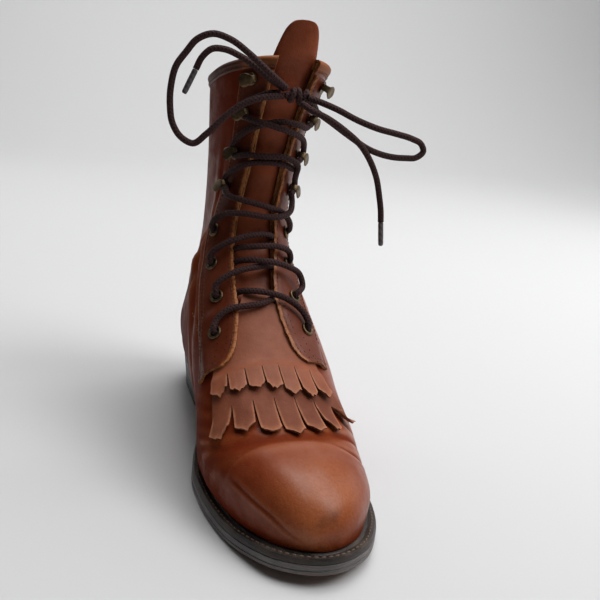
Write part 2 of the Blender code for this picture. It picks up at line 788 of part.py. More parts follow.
def build_eyelet(name, u, distance):
    frame = local_frame(u, distance, FITTING_GAP)
    depth = -(facing_top(u, abs(distance)) + FITTING_GAP + WALL + GAP)
    profile = [
        (EYELET_BARREL, depth),
        (EYELET_BARREL, 0.0),
        (EYELET_FLANGE, 0.0),
        (EYELET_BARREL + EYELET_CROWN, EYELET_RISE),
        (EYELET_HOLE, EYELET_LIP),
        (EYELET_HOLE, depth),
    ]
    rings = []
    for k in range(EYELET_SIDES):
        rings.append([ring_at(frame, r, h, EYELET_SIDES)[k] for r, h in profile])
    sweep(name, rings, BRASS, closed_path=True)


def hole_cutter(name, side):
    """Drills along each eyelet's axis, a little wider than its barrel."""
    bm = bmesh.new()
    for row in EYELETS:
        frame = local_frame(row.u, reach(row, side), 0.0)
        rings = [ring_at(frame, EYELET_BARREL + DRILL_PLAY, height, EYELET_SIDES) for height in DRILL_REACH]
        low, high = [[bm.verts.new(place(p)) for p in ring] for ring in rings]
        bm.faces.new(low)
        bm.faces.new(high)
        for k in range(EYELET_SIDES):
            n = (k + 1) % EYELET_SIDES
            bm.faces.new((low[k], low[n], high[n], high[k]))
    cutter = add_object(name, bm, BRASS)
    cutter.hide_render = True
    cutter.display_type = "WIRE"
    return cutter


def cut(target, cutter, operation="DIFFERENCE"):
    step = target.modifiers.new(cutter.name, "BOOLEAN")
    step.operation = operation
    step.solver = "EXACT"
    step.object = cutter


# A hook is one strip of brass bent back over itself: a riveted foot, a neck and a top plate
HookPoint = namedtuple("HookPoint", "outward height half_width")
HOOK_STRIP = [
    HookPoint(3.8, 0.5, 2.2),
    HookPoint(2.0, 0.5, 3.5),
    HookPoint(-1.8, 0.5, 3.5),
    HookPoint(-3.9, 1.1, 2.0),
    HookPoint(-4.2, 4.0, 2.0),
    HookPoint(-2.7, 5.6, 2.4),
    HookPoint(1.6, 6.0, 3.8),
    HookPoint(4.2, 6.5, 2.2),
]
HOOK_THICK = 1.0
HOOK_GAP = 0.85


def build_hook(name, u, distance):
    at, outward, upward, normal = local_frame(u, distance, HOOK_GAP)
    flat = np.array([(row.outward, row.height) for row in HOOK_STRIP])
    rings = []
    for k, row in enumerate(HOOK_STRIP):
        ahead = flat[min(k + 1, len(flat) - 1)] - flat[max(k - 1, 0)]
        ahead /= np.linalg.norm(ahead)
        across = np.array([-ahead[1], ahead[0]]) * HOOK_THICK / 2
        corners = []
        for sign, half in ((1, 1), (1, -1), (-1, -1), (-1, 1)):
            a, h = flat[k] + across * sign
            corners.append(at + outward * a + normal * h + upward * half * row.half_width)
        rings.append(corners)
    sweep(name, rings, BRASS)


# Lace: a round braided cord; the crossings are joined strands, the bow and its ends hang free
def smooth_route(points, count):
    """Evenly spaced points on a smooth curve through a route's own points."""
    points = np.array(points, float)
    along = np.concatenate([[0], np.cumsum(np.linalg.norm(np.diff(points, axis=0), axis=1))])
    dense = np.linspace(0, along[-1], 20 * len(points))
    curve = np.stack([catmull(along, points[:, k], dense) for k in range(3)], axis=1)
    length = np.concatenate([[0], np.cumsum(np.linalg.norm(np.diff(curve, axis=0), axis=1))])
    at = np.linspace(0, length[-1], count)
    return np.stack([np.interp(at, length, curve[:, k]) for k in range(3)], axis=1)


def catmull(x, y, at):
    slope = np.gradient(y, x)
    k = np.clip(np.searchsorted(x, at, side="right") - 1, 0, len(x) - 2)
    step = x[k + 1] - x[k]
    f = (at - x[k]) / step
    return (
        y[k] * (1 + 2 * f) * (1 - f) ** 2
        + step * slope[k] * f * (1 - f) ** 2
        + y[k + 1] * f**2 * (3 - 2 * f)
        + step * slope[k + 1] * f**2 * (f - 1)
    )


def tube(name, points, radius, sides, material):
    """A round solid along points, its rings kept from twisting."""
    points = np.array(points)
    ahead = np.gradient(points, axis=0)
    ahead /= np.linalg.norm(ahead, axis=1)[:, None]
    side = np.cross(ahead[0], (0.31, 0.2, 0.93))
    rings = []
    for at, along in zip(points, ahead):
        side = side - along * np.dot(side, along)
        side /= np.linalg.norm(side)
        other = np.cross(along, side)
        turns = np.arange(sides) * 2 * math.pi / sides
        rings.append([at + radius * (math.cos(t) * side + math.sin(t) * other) for t in turns])
    return sweep(name, rings, material)


LACE_SIDES = 6
LACE_POINTS = 8
ON_EYELET = FITTING_GAP + EYELET_RISE + 3 * GAP + LACE_RADIUS
AT_HOOK = 4.1  # height of a strand over the eyestay where it passes a hook's neck
IN_THROAT = 0.6  # height over the upper where a strand dips behind the facing's edge
OVER_KILTIE = LAYER_GAP + OVERLAY + 2 * GAP + LACE_RADIUS
BESIDE_HOOK = 4.7  # from a hook's middle to a strand that passes its neck
BEFORE_HOOK = 2.0  # towards the throat from a hook's middle
LEAVES_EDGE = 0.3  # shares of the way up to the next pair of fittings
CROSSES = 0.52
MEETS_EDGE = 0.74
GOES_UNDER = 0.84
CROSS_LIFT = 1.2
BELOW_KNOT_U = 0.5
BEHIND_KNOT = 0.7
RISES_TO_KNOT = 0.35
KNOT_U = 25.55
KNOT_DISTANCE = 1.0
KNOT_LIFT = 7.6
LEVELS = EYELETS + HOOKS[:3]


def over_edge(u, side):
    gap = half_gap(u)
    return beside(u, side * gap, facing_top(u, gap) + 5 * GAP + LACE_RADIUS)


def strand(level, side):
    """From one fitting over the facing's edge, across the throat and up to the next on the other side."""
    here = LEVELS[level]
    hook_here = level >= len(EYELETS)
    if hook_here:
        at, outward, upward, _ = local_frame(here.u, reach(here, side), AT_HOOK)
        start = at - outward * BEFORE_HOOK + upward * BESIDE_HOOK
    else:
        start = local_frame(here.u, reach(here, side), ON_EYELET)[0]
    if level == len(LEVELS) - 1:
        end_u = KNOT_U - BELOW_KNOT_U
        edge = over_edge(here.u + RISES_TO_KNOT, side)
        route = [start, edge, beside(end_u, -side * KNOT_DISTANCE, KNOT_LIFT - BEHIND_KNOT)]
        return smooth_route(route, LACE_POINTS)
    there = LEVELS[level + 1]
    span = there.u - here.u
    over = facing_top(here.u, half_gap(here.u)) + LACE_RADIUS + CROSS_LIFT
    middle = beside(here.u + span * CROSSES, 0.0, over)
    route = [start, over_edge(here.u + span * LEAVES_EDGE, side), middle]
    if level + 1 >= len(EYELETS):
        at, outward, upward, _ = local_frame(there.u, reach(there, -side), AT_HOOK)
        route.append(over_edge(here.u + span * MEETS_EDGE, -side))
        route.append(at - outward * BEFORE_HOOK - upward * BESIDE_HOOK)
    else:
        gap = half_gap(there.u)
        sunk = OVER_KILTIE if level == 0 else IN_THROAT
        inside = gap - LACE_RADIUS - 3 * GAP
        route.append(beside(here.u + span * GOES_UNDER, -side * inside, sunk))
    return smooth_route(route, LACE_POINTS)


def build_crossing(number):
    name = f"lace_crossing_{number + 1}"
    first = tube(name, strand(number, -1), LACE_RADIUS, LACE_SIDES, LACE)
    other = tube(name + "_other", strand(number, 1), LACE_RADIUS, LACE_SIDES, LACE)
    other.hide_render = True
    other.display_type = "WIRE"
    cut(first, other, "UNION")


# Route points of the bow, chosen by hand: x, s and z in millimetres
LOOP_LATERAL = [
    (17, 153, 220), (25, 152, 218), (35, 151, 215), (48, 150, 210), (62, 148, 206),
    (74, 147, 204), (84, 146, 202), (91, 146, 199), (93, 146, 195), (89, 146, 191),
    (82, 147, 190), (73, 148, 190), (59, 149, 193), (45, 150, 200), (31, 151, 208),
    (19, 152, 214.5),
]
END_LATERAL = [
    (13.2, 152, 216.4), (18, 147.2, 213.4), (27, 145, 210), (40, 144, 203), (50, 144, 196), (58, 145, 187),
    (64, 146, 177), (68, 147, 166), (71, 148, 156), (72, 148, 149.5),
]
LOOP_MEDIAL = [
    (4.4, 155.8, 223.9), (-10, 151, 233), (-21, 152, 241), (-31, 155, 247), (-41, 158, 249),
    (-49, 161, 245), (-54, 163, 238), (-59, 164, 230), (-61, 165, 220), (-61, 165, 208),
    (-59, 164, 198), (-54, 163, 191), (-47, 162, 188), (-40, 160, 194), (-31, 158, 204),
    (-22, 156, 212), (-12, 154, 217), (2.8, 156, 219.5),
]
END_MEDIAL = [
    (4.3, 160.3, 223.3), (-7, 158.5, 229), (-15, 160, 234.5), (-24, 162, 239), (-32, 164, 241.5),
    (-39, 166, 241), (-44, 168, 236), (-47, 169, 229),
]
KNOT_HALF = (7.5, 4.6, 5.6)  # across, through and up
TIP_LENGTH = 15.0
TIP_RADIUS = 1.7
TIP_SIDES = 8
KNOT_TILTS = (-75, -50, -20, 20, 50, 75)  # degrees of its rings from the middle
KNOT_SIDES = 10


def build_cord(name, route, count):
    data = bpy.data.curves.new(name, "CURVE")
    data.dimensions = "3D"
    data.bevel_depth = LACE_RADIUS * MM
    data.bevel_resolution = 2
    data.use_fill_caps = True
    points = smooth_route(route, count)
    line = data.splines.new("POLY")
    line.points.add(count - 1)
    for point, at in zip(line.points, points):
        point.co = (*place(at), 1.0)
    data.materials.append(LACE)
    made = bpy.data.objects.new(name, data)
    bpy.context.scene.collection.objects.link(made)
    return points


def build_tip(name, points):
    """The stiff tip that closes a lace's end."""
    ahead = points[-1] - points[-2]
    ahead /= np.linalg.norm(ahead)
    start = points[-1] + ahead * GAP
    ends = [start, start + ahead * TIP_LENGTH / 2, start + ahead * TIP_LENGTH]
    tube(name, ends, TIP_RADIUS, TIP_SIDES, DARK_BROWN)


def build_knot():
    at, outward, upward, normal = local_frame(KNOT_U, KNOT_DISTANCE, KNOT_LIFT)
    across, through, high = KNOT_HALF
    rings = []
    for tilt in np.radians(KNOT_TILTS):
        ring = []
        for turn in np.arange(KNOT_SIDES) * 2 * math.pi / KNOT_SIDES:
            round_it = normal * through * math.cos(turn) + upward * high * math.sin(turn)
            ring.append(at + outward * across * math.sin(tilt) + round_it * math.cos(tilt))
        rings.append(ring)
    sweep("lace_knot", rings, LACE)


build_outsole()
build_welt()
build_heel()
upper = build_upper()
build_insole()
build_tongue()
build_kiltie("kiltie_lower", KILTIE_LOWER, STRIPS_LOWER, 0)
build_kiltie("kiltie_upper", KILTIE_UPPER, STRIPS_UPPER, 1)
build_binding()
for side_name, sign in SIDES.items():
    drill = hole_cutter("holes_" + side_name, sign)
    cut(upper, drill)
    cut(build_eyestay("eyestay_" + side_name, sign), drill)
    for number, fitting in enumerate(EYELETS, 1):
        build_eyelet(f"eyelet_{side_name}_{number}", fitting.u, reach(fitting, sign))
    for number, fitting in enumerate(HOOKS, 1):
        build_hook(f"hook_{side_name}_{number}", fitting.u, reach(fitting, sign))
for level_number in range(len(LEVELS)):
    build_crossing(level_number)
build_knot()
build_cord("lace_loop_medial", LOOP_MEDIAL, 23)
build_cord("lace_loop_lateral", LOOP_LATERAL, 21)
build_tip("lace_tip_medial", build_cord("lace_end_medial", END_MEDIAL, 9))
build_tip("lace_tip_lateral", build_cord("lace_end_lateral", END_LATERAL, 11))
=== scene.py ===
"""Left western lace-up boot with a fringed kiltie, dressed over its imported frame."""

import math
from collections import namedtuple

import bmesh
import bpy
import numpy as np
from mathutils import Matrix, Vector, noise


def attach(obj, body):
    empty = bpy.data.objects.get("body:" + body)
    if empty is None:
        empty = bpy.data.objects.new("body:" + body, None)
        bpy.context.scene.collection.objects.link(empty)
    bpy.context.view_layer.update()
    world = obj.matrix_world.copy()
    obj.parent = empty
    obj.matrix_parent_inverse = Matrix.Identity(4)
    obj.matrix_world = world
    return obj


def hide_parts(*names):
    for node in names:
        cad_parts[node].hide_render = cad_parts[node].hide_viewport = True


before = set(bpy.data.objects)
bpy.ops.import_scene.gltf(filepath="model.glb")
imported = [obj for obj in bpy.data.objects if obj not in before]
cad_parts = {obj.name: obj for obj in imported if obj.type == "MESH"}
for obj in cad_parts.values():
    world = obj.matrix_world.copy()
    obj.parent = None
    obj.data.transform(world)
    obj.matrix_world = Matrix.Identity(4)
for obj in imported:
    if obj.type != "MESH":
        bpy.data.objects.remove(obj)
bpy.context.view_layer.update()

# Outsole: the unit under the whole boot, black on its edge and brown leather on the tread.
# It is cut to the last's outline, trimmed flush, grooved round the edge and cemented to the welt.
MM = 0.001
MID_S = 139.031
MID_X = 2.017
HEEL_SWING = 5.0
SWING_S = (140.0, 280.0)
GAP = 0.3
OUTSOLE_THICK = 6.0
WELT_THICK = 3.2
PLAN_STEP = 0.004
SOLE_SIDE_POINTS = 90
SOLE_EDGE = [
    (0.0, 1.3), (0.25, 0.7), (0.7, 0.3), (1.2, 0.12), (2.1, 0.0), (2.5, 0.1), (2.7, 0.4), (3.3, 0.4),
    (3.5, 0.1), (3.9, 0.0), (5.4, 0.0), (5.8, 0.15), (6.0, 0.5),
]
SOLE_TAN_RINGS = 2


def table(fields, *rows):
    """A list of rows whose values go by the fields' names."""
    kind = namedtuple("Row", fields)
    return [kind(*row) for row in rows]


FEATHER = table(
    "s medial lateral overhang",
    (7, 0, 0, 7), (11, 12, 12.5, 7), (18, 20.5, 21.5, 7), (28, 26.5, 28.5, 7), (42, 32.5, 35.5, 7),
    (58, 36.5, 40, 7), (76, 39, 42.5, 7), (97, 39.5, 43.5, 7), (119, 36.5, 42.5, 6), (144, 30, 39, 5),
    (169, 25.5, 34.5, 4.2), (194, 24, 31.3, 3.6), (219, 25, 29.7, 3.2), (244, 25.5, 27.5, 3),
    (259, 23.5, 24, 3), (269, 16.5, 17, 3), (275, 0, 0, 3),
)
TREAD = table(
    "s z",
    (-5, 7.8), (0, 6.6), (15, 4.2), (32, 1.8), (48, 0.3), (60, 0), (104, 0), (119, 0.6), (139, 3.2),
    (164, 9.4), (189, 16.4), (209, 20.2), (234, 22), (284, 23.5),
)


def hermite(x, y, slope, at):
    """Cubic pieces through x and y with the given slopes."""
    k = np.clip(np.searchsorted(x, at, side="right") - 1, 0, len(x) - 2)
    step = x[k + 1] - x[k]
    f = (at - x[k]) / step
    return (
        y[k] * (1 + 2 * f) * (1 - f) ** 2
        + step * slope[k] * f * (1 - f) ** 2
        + y[k + 1] * f**2 * (3 - 2 * f)
        + step * slope[k + 1] * f**2 * (f - 1)
    )


def cubic(x, y, at):
    """Monotone cubic through x and y."""
    step = np.diff(x)
    rise = np.diff(y) / step
    slope = np.zeros_like(y)
    same = rise[:-1] * rise[1:] > 0
    w1 = 2 * step[1:] + step[:-1]
    w2 = step[1:] + 2 * step[:-1]
    before = w1 / np.where(same, rise[:-1], 1)
    after = w2 / np.where(same, rise[1:], 1)
    slope[1:-1] = np.where(same, (w1 + w2) / np.where(same, before + after, 1), 0)
    slope[0] = rise[0]
    slope[-1] = rise[-1]
    return hermite(x, y, slope, np.clip(at, x[0], x[-1]))


def smooth(rows, name, at):
    x = np.array([row[0] for row in rows], float)
    return cubic(x, np.array([getattr(row, name) for row in rows], float), at)


def soft_step(x, low, high):
    share = np.clip((np.asarray(x, float) - low) / (high - low), 0, 1)
    return share * share * (3 - 2 * share)


def tread_z(s):
    return smooth(TREAD, "z", s)


def feather_z(s):
    return tread_z(s) + OUTSOLE_THICK + GAP + WELT_THICK


def overhang(s):
    return smooth(FEATHER, "overhang", s)


def ends_share(s):
    first, last = FEATHER[0].s, FEATHER[-1].s
    span = np.clip((np.asarray(s, float) - first) / (last - first), 0, 1)
    return np.arccos(1 - 2 * span) / math.pi


def feather_half(s, side):
    name = "medial" if side < 0 else "lateral"
    shares = ends_share([row.s for row in FEATHER])
    return cubic(shares, np.array([getattr(row, name) for row in FEATHER], float), ends_share(s))


def plan_side(side, grow, shares):
    """Points (x, s) of one side of the last's outline, grown outwards."""
    first, last = FEATHER[0].s, FEATHER[-1].s

    def place(share):
        s = first + (last - first) * (1 - math.cos(math.pi * share)) / 2
        return np.array([side * feather_half(s, side), s])

    points = []
    for share in shares:
        along = place(min(share + PLAN_STEP, 1.0)) - place(max(share - PLAN_STEP, 0.0))
        along /= np.linalg.norm(along)
        at = place(share)
        points.append(at + side * np.array([along[1], -along[0]]) * grow(at[1]))
    return points


def plan_loop(grow, height, count, first_share=0.0):
    shares = first_share + (1 - first_share) * (np.arange(count) + 0.5) / count
    if first_share:
        shares[0] = first_share
    flat = plan_side(-1, grow, shares) + plan_side(1, grow, shares)[::-1]
    return [np.array([x, s, float(height(s))]) for x, s in flat]


def placed(points):
    """Boot points in millimetres (x, s from the toe, z) as metres in the frame."""
    p = np.asarray(points, float).reshape(-1, 3)
    swing = HEEL_SWING * soft_step(p[:, 1], *SWING_S)
    return np.stack([p[:, 0] + swing - MID_X, p[:, 1] - MID_S, p[:, 2]], axis=1) * MM


def shown(name, data):
    made = bpy.data.objects.new(name, data)
    bpy.context.scene.collection.objects.link(made)
    return made


def mesh_of(name, places, faces):
    """A mesh from places in metres, with its faces turned outwards."""
    mesh = bpy.data.meshes.new(name)
    mesh.from_pydata(places.tolist(), [], [list(f) for f in faces])
    bm = bmesh.new()
    bm.from_mesh(mesh)
    bmesh.ops.recalc_face_normals(bm, faces=bm.faces)
    bm.to_mesh(mesh)
    bm.free()
    return mesh


def piece(name, points, faces, finishes, slots=None, marks=None, sharp=40.0):
    """A mesh object from boot points, with a finish number for each face and marks on its points."""
    mesh = mesh_of(name, placed(points), faces)
    for finish in finishes:
        mesh.materials.append(finish)
    if slots is not None:
        mesh.polygons.foreach_set("material_index", np.array(slots, np.int32))
    for mark, values in (marks or {}).items():
        values = np.asarray(values, np.float32)
        kind, field = ("FLOAT_VECTOR", "vector") if values.ndim == 2 else ("FLOAT", "value")
        mesh.attributes.new(mark, kind, "POINT").data.foreach_set(field, values.ravel())
    mesh.shade_smooth()
    mesh.set_sharp_from_angle(angle=math.radians(sharp))
    return shown(name, mesh)


def ring_faces(rings, size, closed=False):
    """Quads from each ring of points to the next, and from the last to the first if closed."""
    faces = []
    for ring in range(rings if closed else rings - 1):
        near, far = ring * size, (ring + 1) % rings * size
        for k in range(size):
            n = (k + 1) % size
            faces.append((near + k, near + n, far + n, far + k))
    return faces


def stacked(loops):
    """Points and faces of a solid through like loops, with its two ends closed by strips."""
    count = len(loops[0])
    faces = ring_faces(len(loops), count)
    for base in (0, (len(loops) - 1) * count):
        for k in range(count // 2 - 1):
            faces.append((base + k, base + k + 1, base + count - 2 - k, base + count - 1 - k))
    return np.concatenate([np.array(loop) for loop in loops]), faces


class Flow:
    """A socket of a finish's tree. Sums and products on it add Math nodes."""

    def __init__(self, tree, socket):
        self.tree = tree
        self.socket = socket

    def math(self, operation, *others):
        made = self.tree.nodes.new("ShaderNodeMath")
        made.operation = operation
        for slot, item in enumerate((self,) + others):
            if isinstance(item, Flow):
                self.tree.links.new(item.socket, made.inputs[slot])
            else:
                made.inputs[slot].default_value = item
        return Flow(self.tree, made.outputs[0])

    def __add__(self, other):
        return self.math("ADD", other)

    __radd__ = __add__

    def __mul__(self, other):
        return self.math("MULTIPLY", other)

    __rmul__ = __mul__

    def __sub__(self, other):
        return self.math("SUBTRACT", other)

    def __rsub__(self, other):
        return self.math("MULTIPLY", -1.0).math("ADD", other)

    def held(self):
        return self.math("MAXIMUM", 0.0).math("MINIMUM", 1.0)


class Finish:
    """A material with one Principled shader, and a way to add nodes in front of it."""

    def __init__(self, name, **fixed):
        self.made = bpy.data.materials.new(name)
        self.made.use_nodes = True
        self.tree = self.made.node_tree
        self.shader = self.tree.nodes["Principled BSDF"]
        for socket, value in fixed.items():
            self.shader.inputs[socket.replace("_", " ")].default_value = value

    def node(self, kind, settings=None, sockets=None, out=0):
        made = self.tree.nodes.new(kind)
        for key, value in (settings or {}).items():
            setattr(made, key, value)
        for key, value in (sockets or {}).items():
            if isinstance(value, Flow):
                self.tree.links.new(value.socket, made.inputs[key])
            else:
                made.inputs[key].default_value = value
        return Flow(self.tree, made.outputs[out])

    def where(self):
        return self.node("ShaderNodeTexCoord", out="Object")

    def cloud(self, at, scale, detail=3.0, rough=0.55, stretch=None):
        if stretch is not None:
            at = self.node("ShaderNodeMapping", sockets={"Vector": at, "Scale": stretch})
        sockets = {"Vector": at, "Scale": scale, "Detail": detail, "Roughness": rough}
        return self.node("ShaderNodeTexNoise", sockets=sockets)

    def bands(self, at, scale):
        settings = {"wave_type": "BANDS", "bands_direction": "DIAGONAL"}
        return self.node("ShaderNodeTexWave", settings, {"Vector": at, "Scale": scale})

    def mark(self, name, out="Fac"):
        return self.node("ShaderNodeAttribute", {"attribute_name": name}, out=out)

    def mix(self, share, first, second):
        sockets = {0: share, 6: (*first, 1.0) if isinstance(first, tuple) else first}
        sockets[7] = (*second, 1.0) if isinstance(second, tuple) else second
        return self.node("ShaderNodeMix", {"data_type": "RGBA", "clamp_factor": True}, sockets, out=2)

    def feed(self, **flows):
        for socket, flow in flows.items():
            self.tree.links.new(flow.socket, self.shader.inputs[socket.replace("_", " ")])

    def relief(self, height, distance, strength=1.0, over=None):
        sockets = {"Height": height, "Distance": distance, "Strength": strength}
        if over is not None:
            sockets["Normal"] = over
        return self.node("ShaderNodeBump", sockets=sockets)


def edge_black(name, colour, dust):
    """Inked and burnished edge: near black, clouded with dust, faintly brushed along its length."""
    finish = Finish(name, Specular_IOR_Level=0.4)
    at = finish.where()
    large = finish.cloud(at, 45.0, 4.0)
    fine = finish.cloud(at, 900.0, 4.0, 0.7)
    brushed = finish.cloud(at, 240.0, 4.0, 0.6, (0.25, 0.25, 6.0))
    worn = ((large - 0.42) * 2.2 + (brushed - 0.5) * 1.3).held()
    finish.feed(
        Base_Color=finish.mix(worn * 0.75, colour, dust),
        Roughness=0.42 + 0.3 * worn + (fine - 0.5) * 0.15,
        Normal=finish.relief(fine * 0.5 + brushed, 0.0005, 0.5),
    )
    return finish.made


def two_tone(name, wear, first, second, rough=None, grain=None, **fixed):
    """Two colours clouded together, rougher where the second shows, with an optional fine relief."""
    finish = Finish(name, **fixed)
    at = finish.where()
    share = finish.cloud(at, *wear)
    finish.feed(Base_Color=finish.mix(share, first, second))
    if rough:
        finish.feed(Roughness=rough[0] + rough[1] * share)
    if grain:
        finish.feed(Normal=finish.relief(finish.cloud(at, *grain[:2]), *grain[2:]))
    return finish.made


# The outsole's edge colour is raised well above the heel's black: partly dust, partly a painted sheen of the
# glossy edge.
SOLE_DUST_AND_SHEEN_BLACK = edge_black("sole_edge_black", (0.095, 0.083, 0.081), (0.28, 0.248, 0.24))
TREAD_BROWN = two_tone(
    "tread_brown_leather",
    (30.0, 5.0, 0.65),
    (0.11, 0.05, 0.03),
    (0.23, 0.12, 0.07),
    (0.5, 0.3),
    (700.0, 4.0, 0.0004, 0.6),
    Specular_IOR_Level=0.35,
)

sole_loops = []
for edge_height, edge_inset in SOLE_EDGE:
    sole_loops.append(
        plan_loop(lambda s: overhang(s) - edge_inset, lambda s: tread_z(s) + edge_height, SOLE_SIDE_POINTS)
    )
sole_points, sole_faces = stacked(sole_loops)
sole_ring = 2 * SOLE_SIDE_POINTS
sole_slots = [1 if n < SOLE_TAN_RINGS * sole_ring else 0 for n in range((len(SOLE_EDGE) - 1) * sole_ring)]
sole_slots += [1] * (SOLE_SIDE_POINTS - 1) + [0] * (SOLE_SIDE_POINTS - 1)
outsole = piece("outsole_unit", sole_points, sole_faces, [SOLE_DUST_AND_SHEEN_BLACK, TREAD_BROWN], sole_slots)
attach(outsole, "root")
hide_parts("outsole")

# Heel: stacked leather lifts, inked black, with a rubber top lift nailed on below.
# The block is raked forward at the back and its breast is cut straight across.
HEEL_BREAST_S = 210.0
TOP_LIFT_THICK = 6.0
HEEL_POINTS = 40
HEEL_INSET = 0.3
HEEL_RAKE = 3.0
HEEL_NARROWS = 0.1
CAP_EDGE = [(0.0, 0.03), (0.5, 0.015), (TOP_LIFT_THICK - 0.4, 0.0), (TOP_LIFT_THICK, 0.008)]
HEEL_LIFTS = 3
LIFT_GROOVE = 0.25
LIFT_EDGE = 0.02


def heel_loops():
    """The block's loops from its foot up, with a fine groove between the lifts."""
    first = float(ends_share(HEEL_BREAST_S))
    top = plan_loop(lambda s: overhang(s) - HEEL_INSET, lambda s: tread_z(s) - GAP, HEEL_POINTS, first)
    split = TOP_LIFT_THICK + GAP
    middle = np.mean(top, axis=0)
    shares = [0.0]
    for lift in range(1, HEEL_LIFTS):
        shares += [lift / HEEL_LIFTS + shift for shift in (-LIFT_EDGE, 0.0, LIFT_EDGE)]
    shares.append(1.0)
    loops = []
    for number, share in enumerate(shares):
        grooved = LIFT_GROOVE if number % 3 == 2 else 0.0
        loop = []
        for p in top:
            full = (p[2] - split) / p[2]
            low = np.array([p[0] * (1 - HEEL_NARROWS * full), p[1] - HEEL_RAKE * full, split])
            at = low + (p - low) * share
            inwards = (middle - at) * np.array([1, 1, 0])
            loop.append(at + inwards / np.linalg.norm(inwards) * grooved)
        loops.append(loop)
    return loops


block_loops = heel_loops()
block_points, block_faces = stacked(block_loops)
HEEL_BLACK = edge_black("heel_stack_black", (0.034, 0.029, 0.027), (0.11, 0.095, 0.09))
heel_block = piece("heel_block", block_points, block_faces, [HEEL_BLACK])
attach(heel_block, "root")
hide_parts("heel")

cap_loops = []
for cap_height, cap_narrow in CAP_EDGE:
    cap_loops.append([np.array([p[0] * (1 - cap_narrow), p[1], cap_height]) for p in block_loops[0]])
cap_points, cap_faces = stacked(cap_loops)
TOP_LIFT_RUBBER = edge_black("top_lift_rubber", (0.02, 0.019, 0.019), (0.07, 0.065, 0.06))
heel_cap = piece("heel_top_lift", cap_points, cap_faces, [TOP_LIFT_RUBBER])
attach(heel_cap, "root")
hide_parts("heel_cap")

# Welt: a dark leather strip sewn round the upper's feather edge and through the outsole.
# Its row of lock stitches lies in a shallow channel on the top face.
WELT_INNER = 6.0
WELT_INSET = 0.4
WELT_ROWS = [
    (0.0, 0.0), (0.0, 0.55), (0.06, 1.0), (0.28, 1.0), (0.34, 0.82), (0.42, 0.82), (0.48, 1.0),
    (1.0, 1.0), (1.0, 0.0),
]
WELT_STITCH_DOWN = 0.12 * WELT_THICK - 0.25
WELT_STITCH_IN = 2.9
WELT_STITCH_PITCH = 3.6

welt_outer = plan_loop(lambda s: overhang(s) - WELT_INSET, lambda s: 0.0, SOLE_SIDE_POINTS)
welt_inner = plan_loop(lambda s: -WELT_INNER, lambda s: 0.0, SOLE_SIDE_POINTS)
welt_points = []
for across, up in WELT_ROWS:
    for a, b in zip(welt_outer, welt_inner):
        p = a + (b - a) * across
        p[2] = float(tread_z(p[1])) + OUTSOLE_THICK + GAP + WELT_THICK * up
        welt_points.append(p)
welt_faces = ring_faces(len(WELT_ROWS), sole_ring, closed=True)
WELT_DARK = edge_black("welt_dark_leather", (0.018, 0.013, 0.011), (0.11, 0.08, 0.062))
welt = piece("welt_strip", welt_points, welt_faces, [WELT_DARK])
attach(welt, "root")
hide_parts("welt")


def turn_to(ahead, up):
    """Euler angles that put X along a stitch and Z out of the leather."""
    x = np.asarray(ahead, float) / np.linalg.norm(ahead)
    z = np.asarray(up, float) - x * np.dot(x, up)
    z /= np.linalg.norm(z)
    return Matrix(np.stack([x, np.cross(z, x), z], axis=1).tolist()).to_euler()


class Spread:
    """A Geometry Nodes tree that sets a form on every point, turned by the points' own angles."""

    def __init__(self, name, **inputs):
        self.tree = bpy.data.node_groups.new(name, "GeometryNodeTree")
        sockets = self.tree.interface
        sockets.new_socket("Geometry", in_out="INPUT", socket_type="NodeSocketGeometry")
        for label, value in inputs.items():
            sockets.new_socket(label, in_out="INPUT", socket_type="NodeSocketFloat").default_value = value
        sockets.new_socket("Geometry", in_out="OUTPUT", socket_type="NodeSocketGeometry")
        self.start = self.tree.nodes.new("NodeGroupInput")

    def node(self, kind, sockets, out=0, **settings):
        """One output of a new node whose sockets are linked or filled."""
        made = self.tree.nodes.new(kind)
        for key, value in settings.items():
            setattr(made, key, value)
        for key, value in sockets.items():
            if isinstance(value, bpy.types.NodeSocket):
                self.tree.links.new(value, made.inputs[key])
            else:
                made.inputs[key].default_value = value
        return made.outputs[out]

    def over_points(self, form, finish=None, scale=None):
        """The whole tree: the form on each point, made real and dressed."""
        angles = self.node(
            "GeometryNodeInputNamedAttribute", {"Name": "turn"}, "Attribute", data_type="FLOAT_VECTOR"
        )
        turn = self.node("FunctionNodeEulerToRotation", {0: angles})
        sockets = {"Points": self.start.outputs["Geometry"], "Instance": form, "Rotation": turn}
        if scale is not None:
            sockets["Scale"] = scale
        each = self.node("GeometryNodeInstanceOnPoints", sockets)
        made = self.node("GeometryNodeRealizeInstances", {"Geometry": each})
        if finish is not None:
            made = self.node("GeometryNodeSetMaterial", {"Geometry": made, "Material": finish})
        end = self.tree.nodes.new("NodeGroupOutput")
        self.tree.links.new(made, end.inputs["Geometry"])
        return self.tree


def sewing_tree(name, finish):
    """A thread's stitch on every point."""
    spread = Spread(name, Length=0.003, Thickness=0.0008)
    length, thickness = spread.start.outputs["Length"], spread.start.outputs["Thickness"]
    ball = spread.node("GeometryNodeMeshUVSphere", {"Segments": 6, "Rings": 4, "Radius": 0.5}, "Mesh")
    size = spread.node("ShaderNodeCombineXYZ", {"X": length, "Y": thickness, "Z": thickness})
    return spread.over_points(spread.node("GeometryNodeTransform", {"Geometry": ball, "Scale": size}), finish)


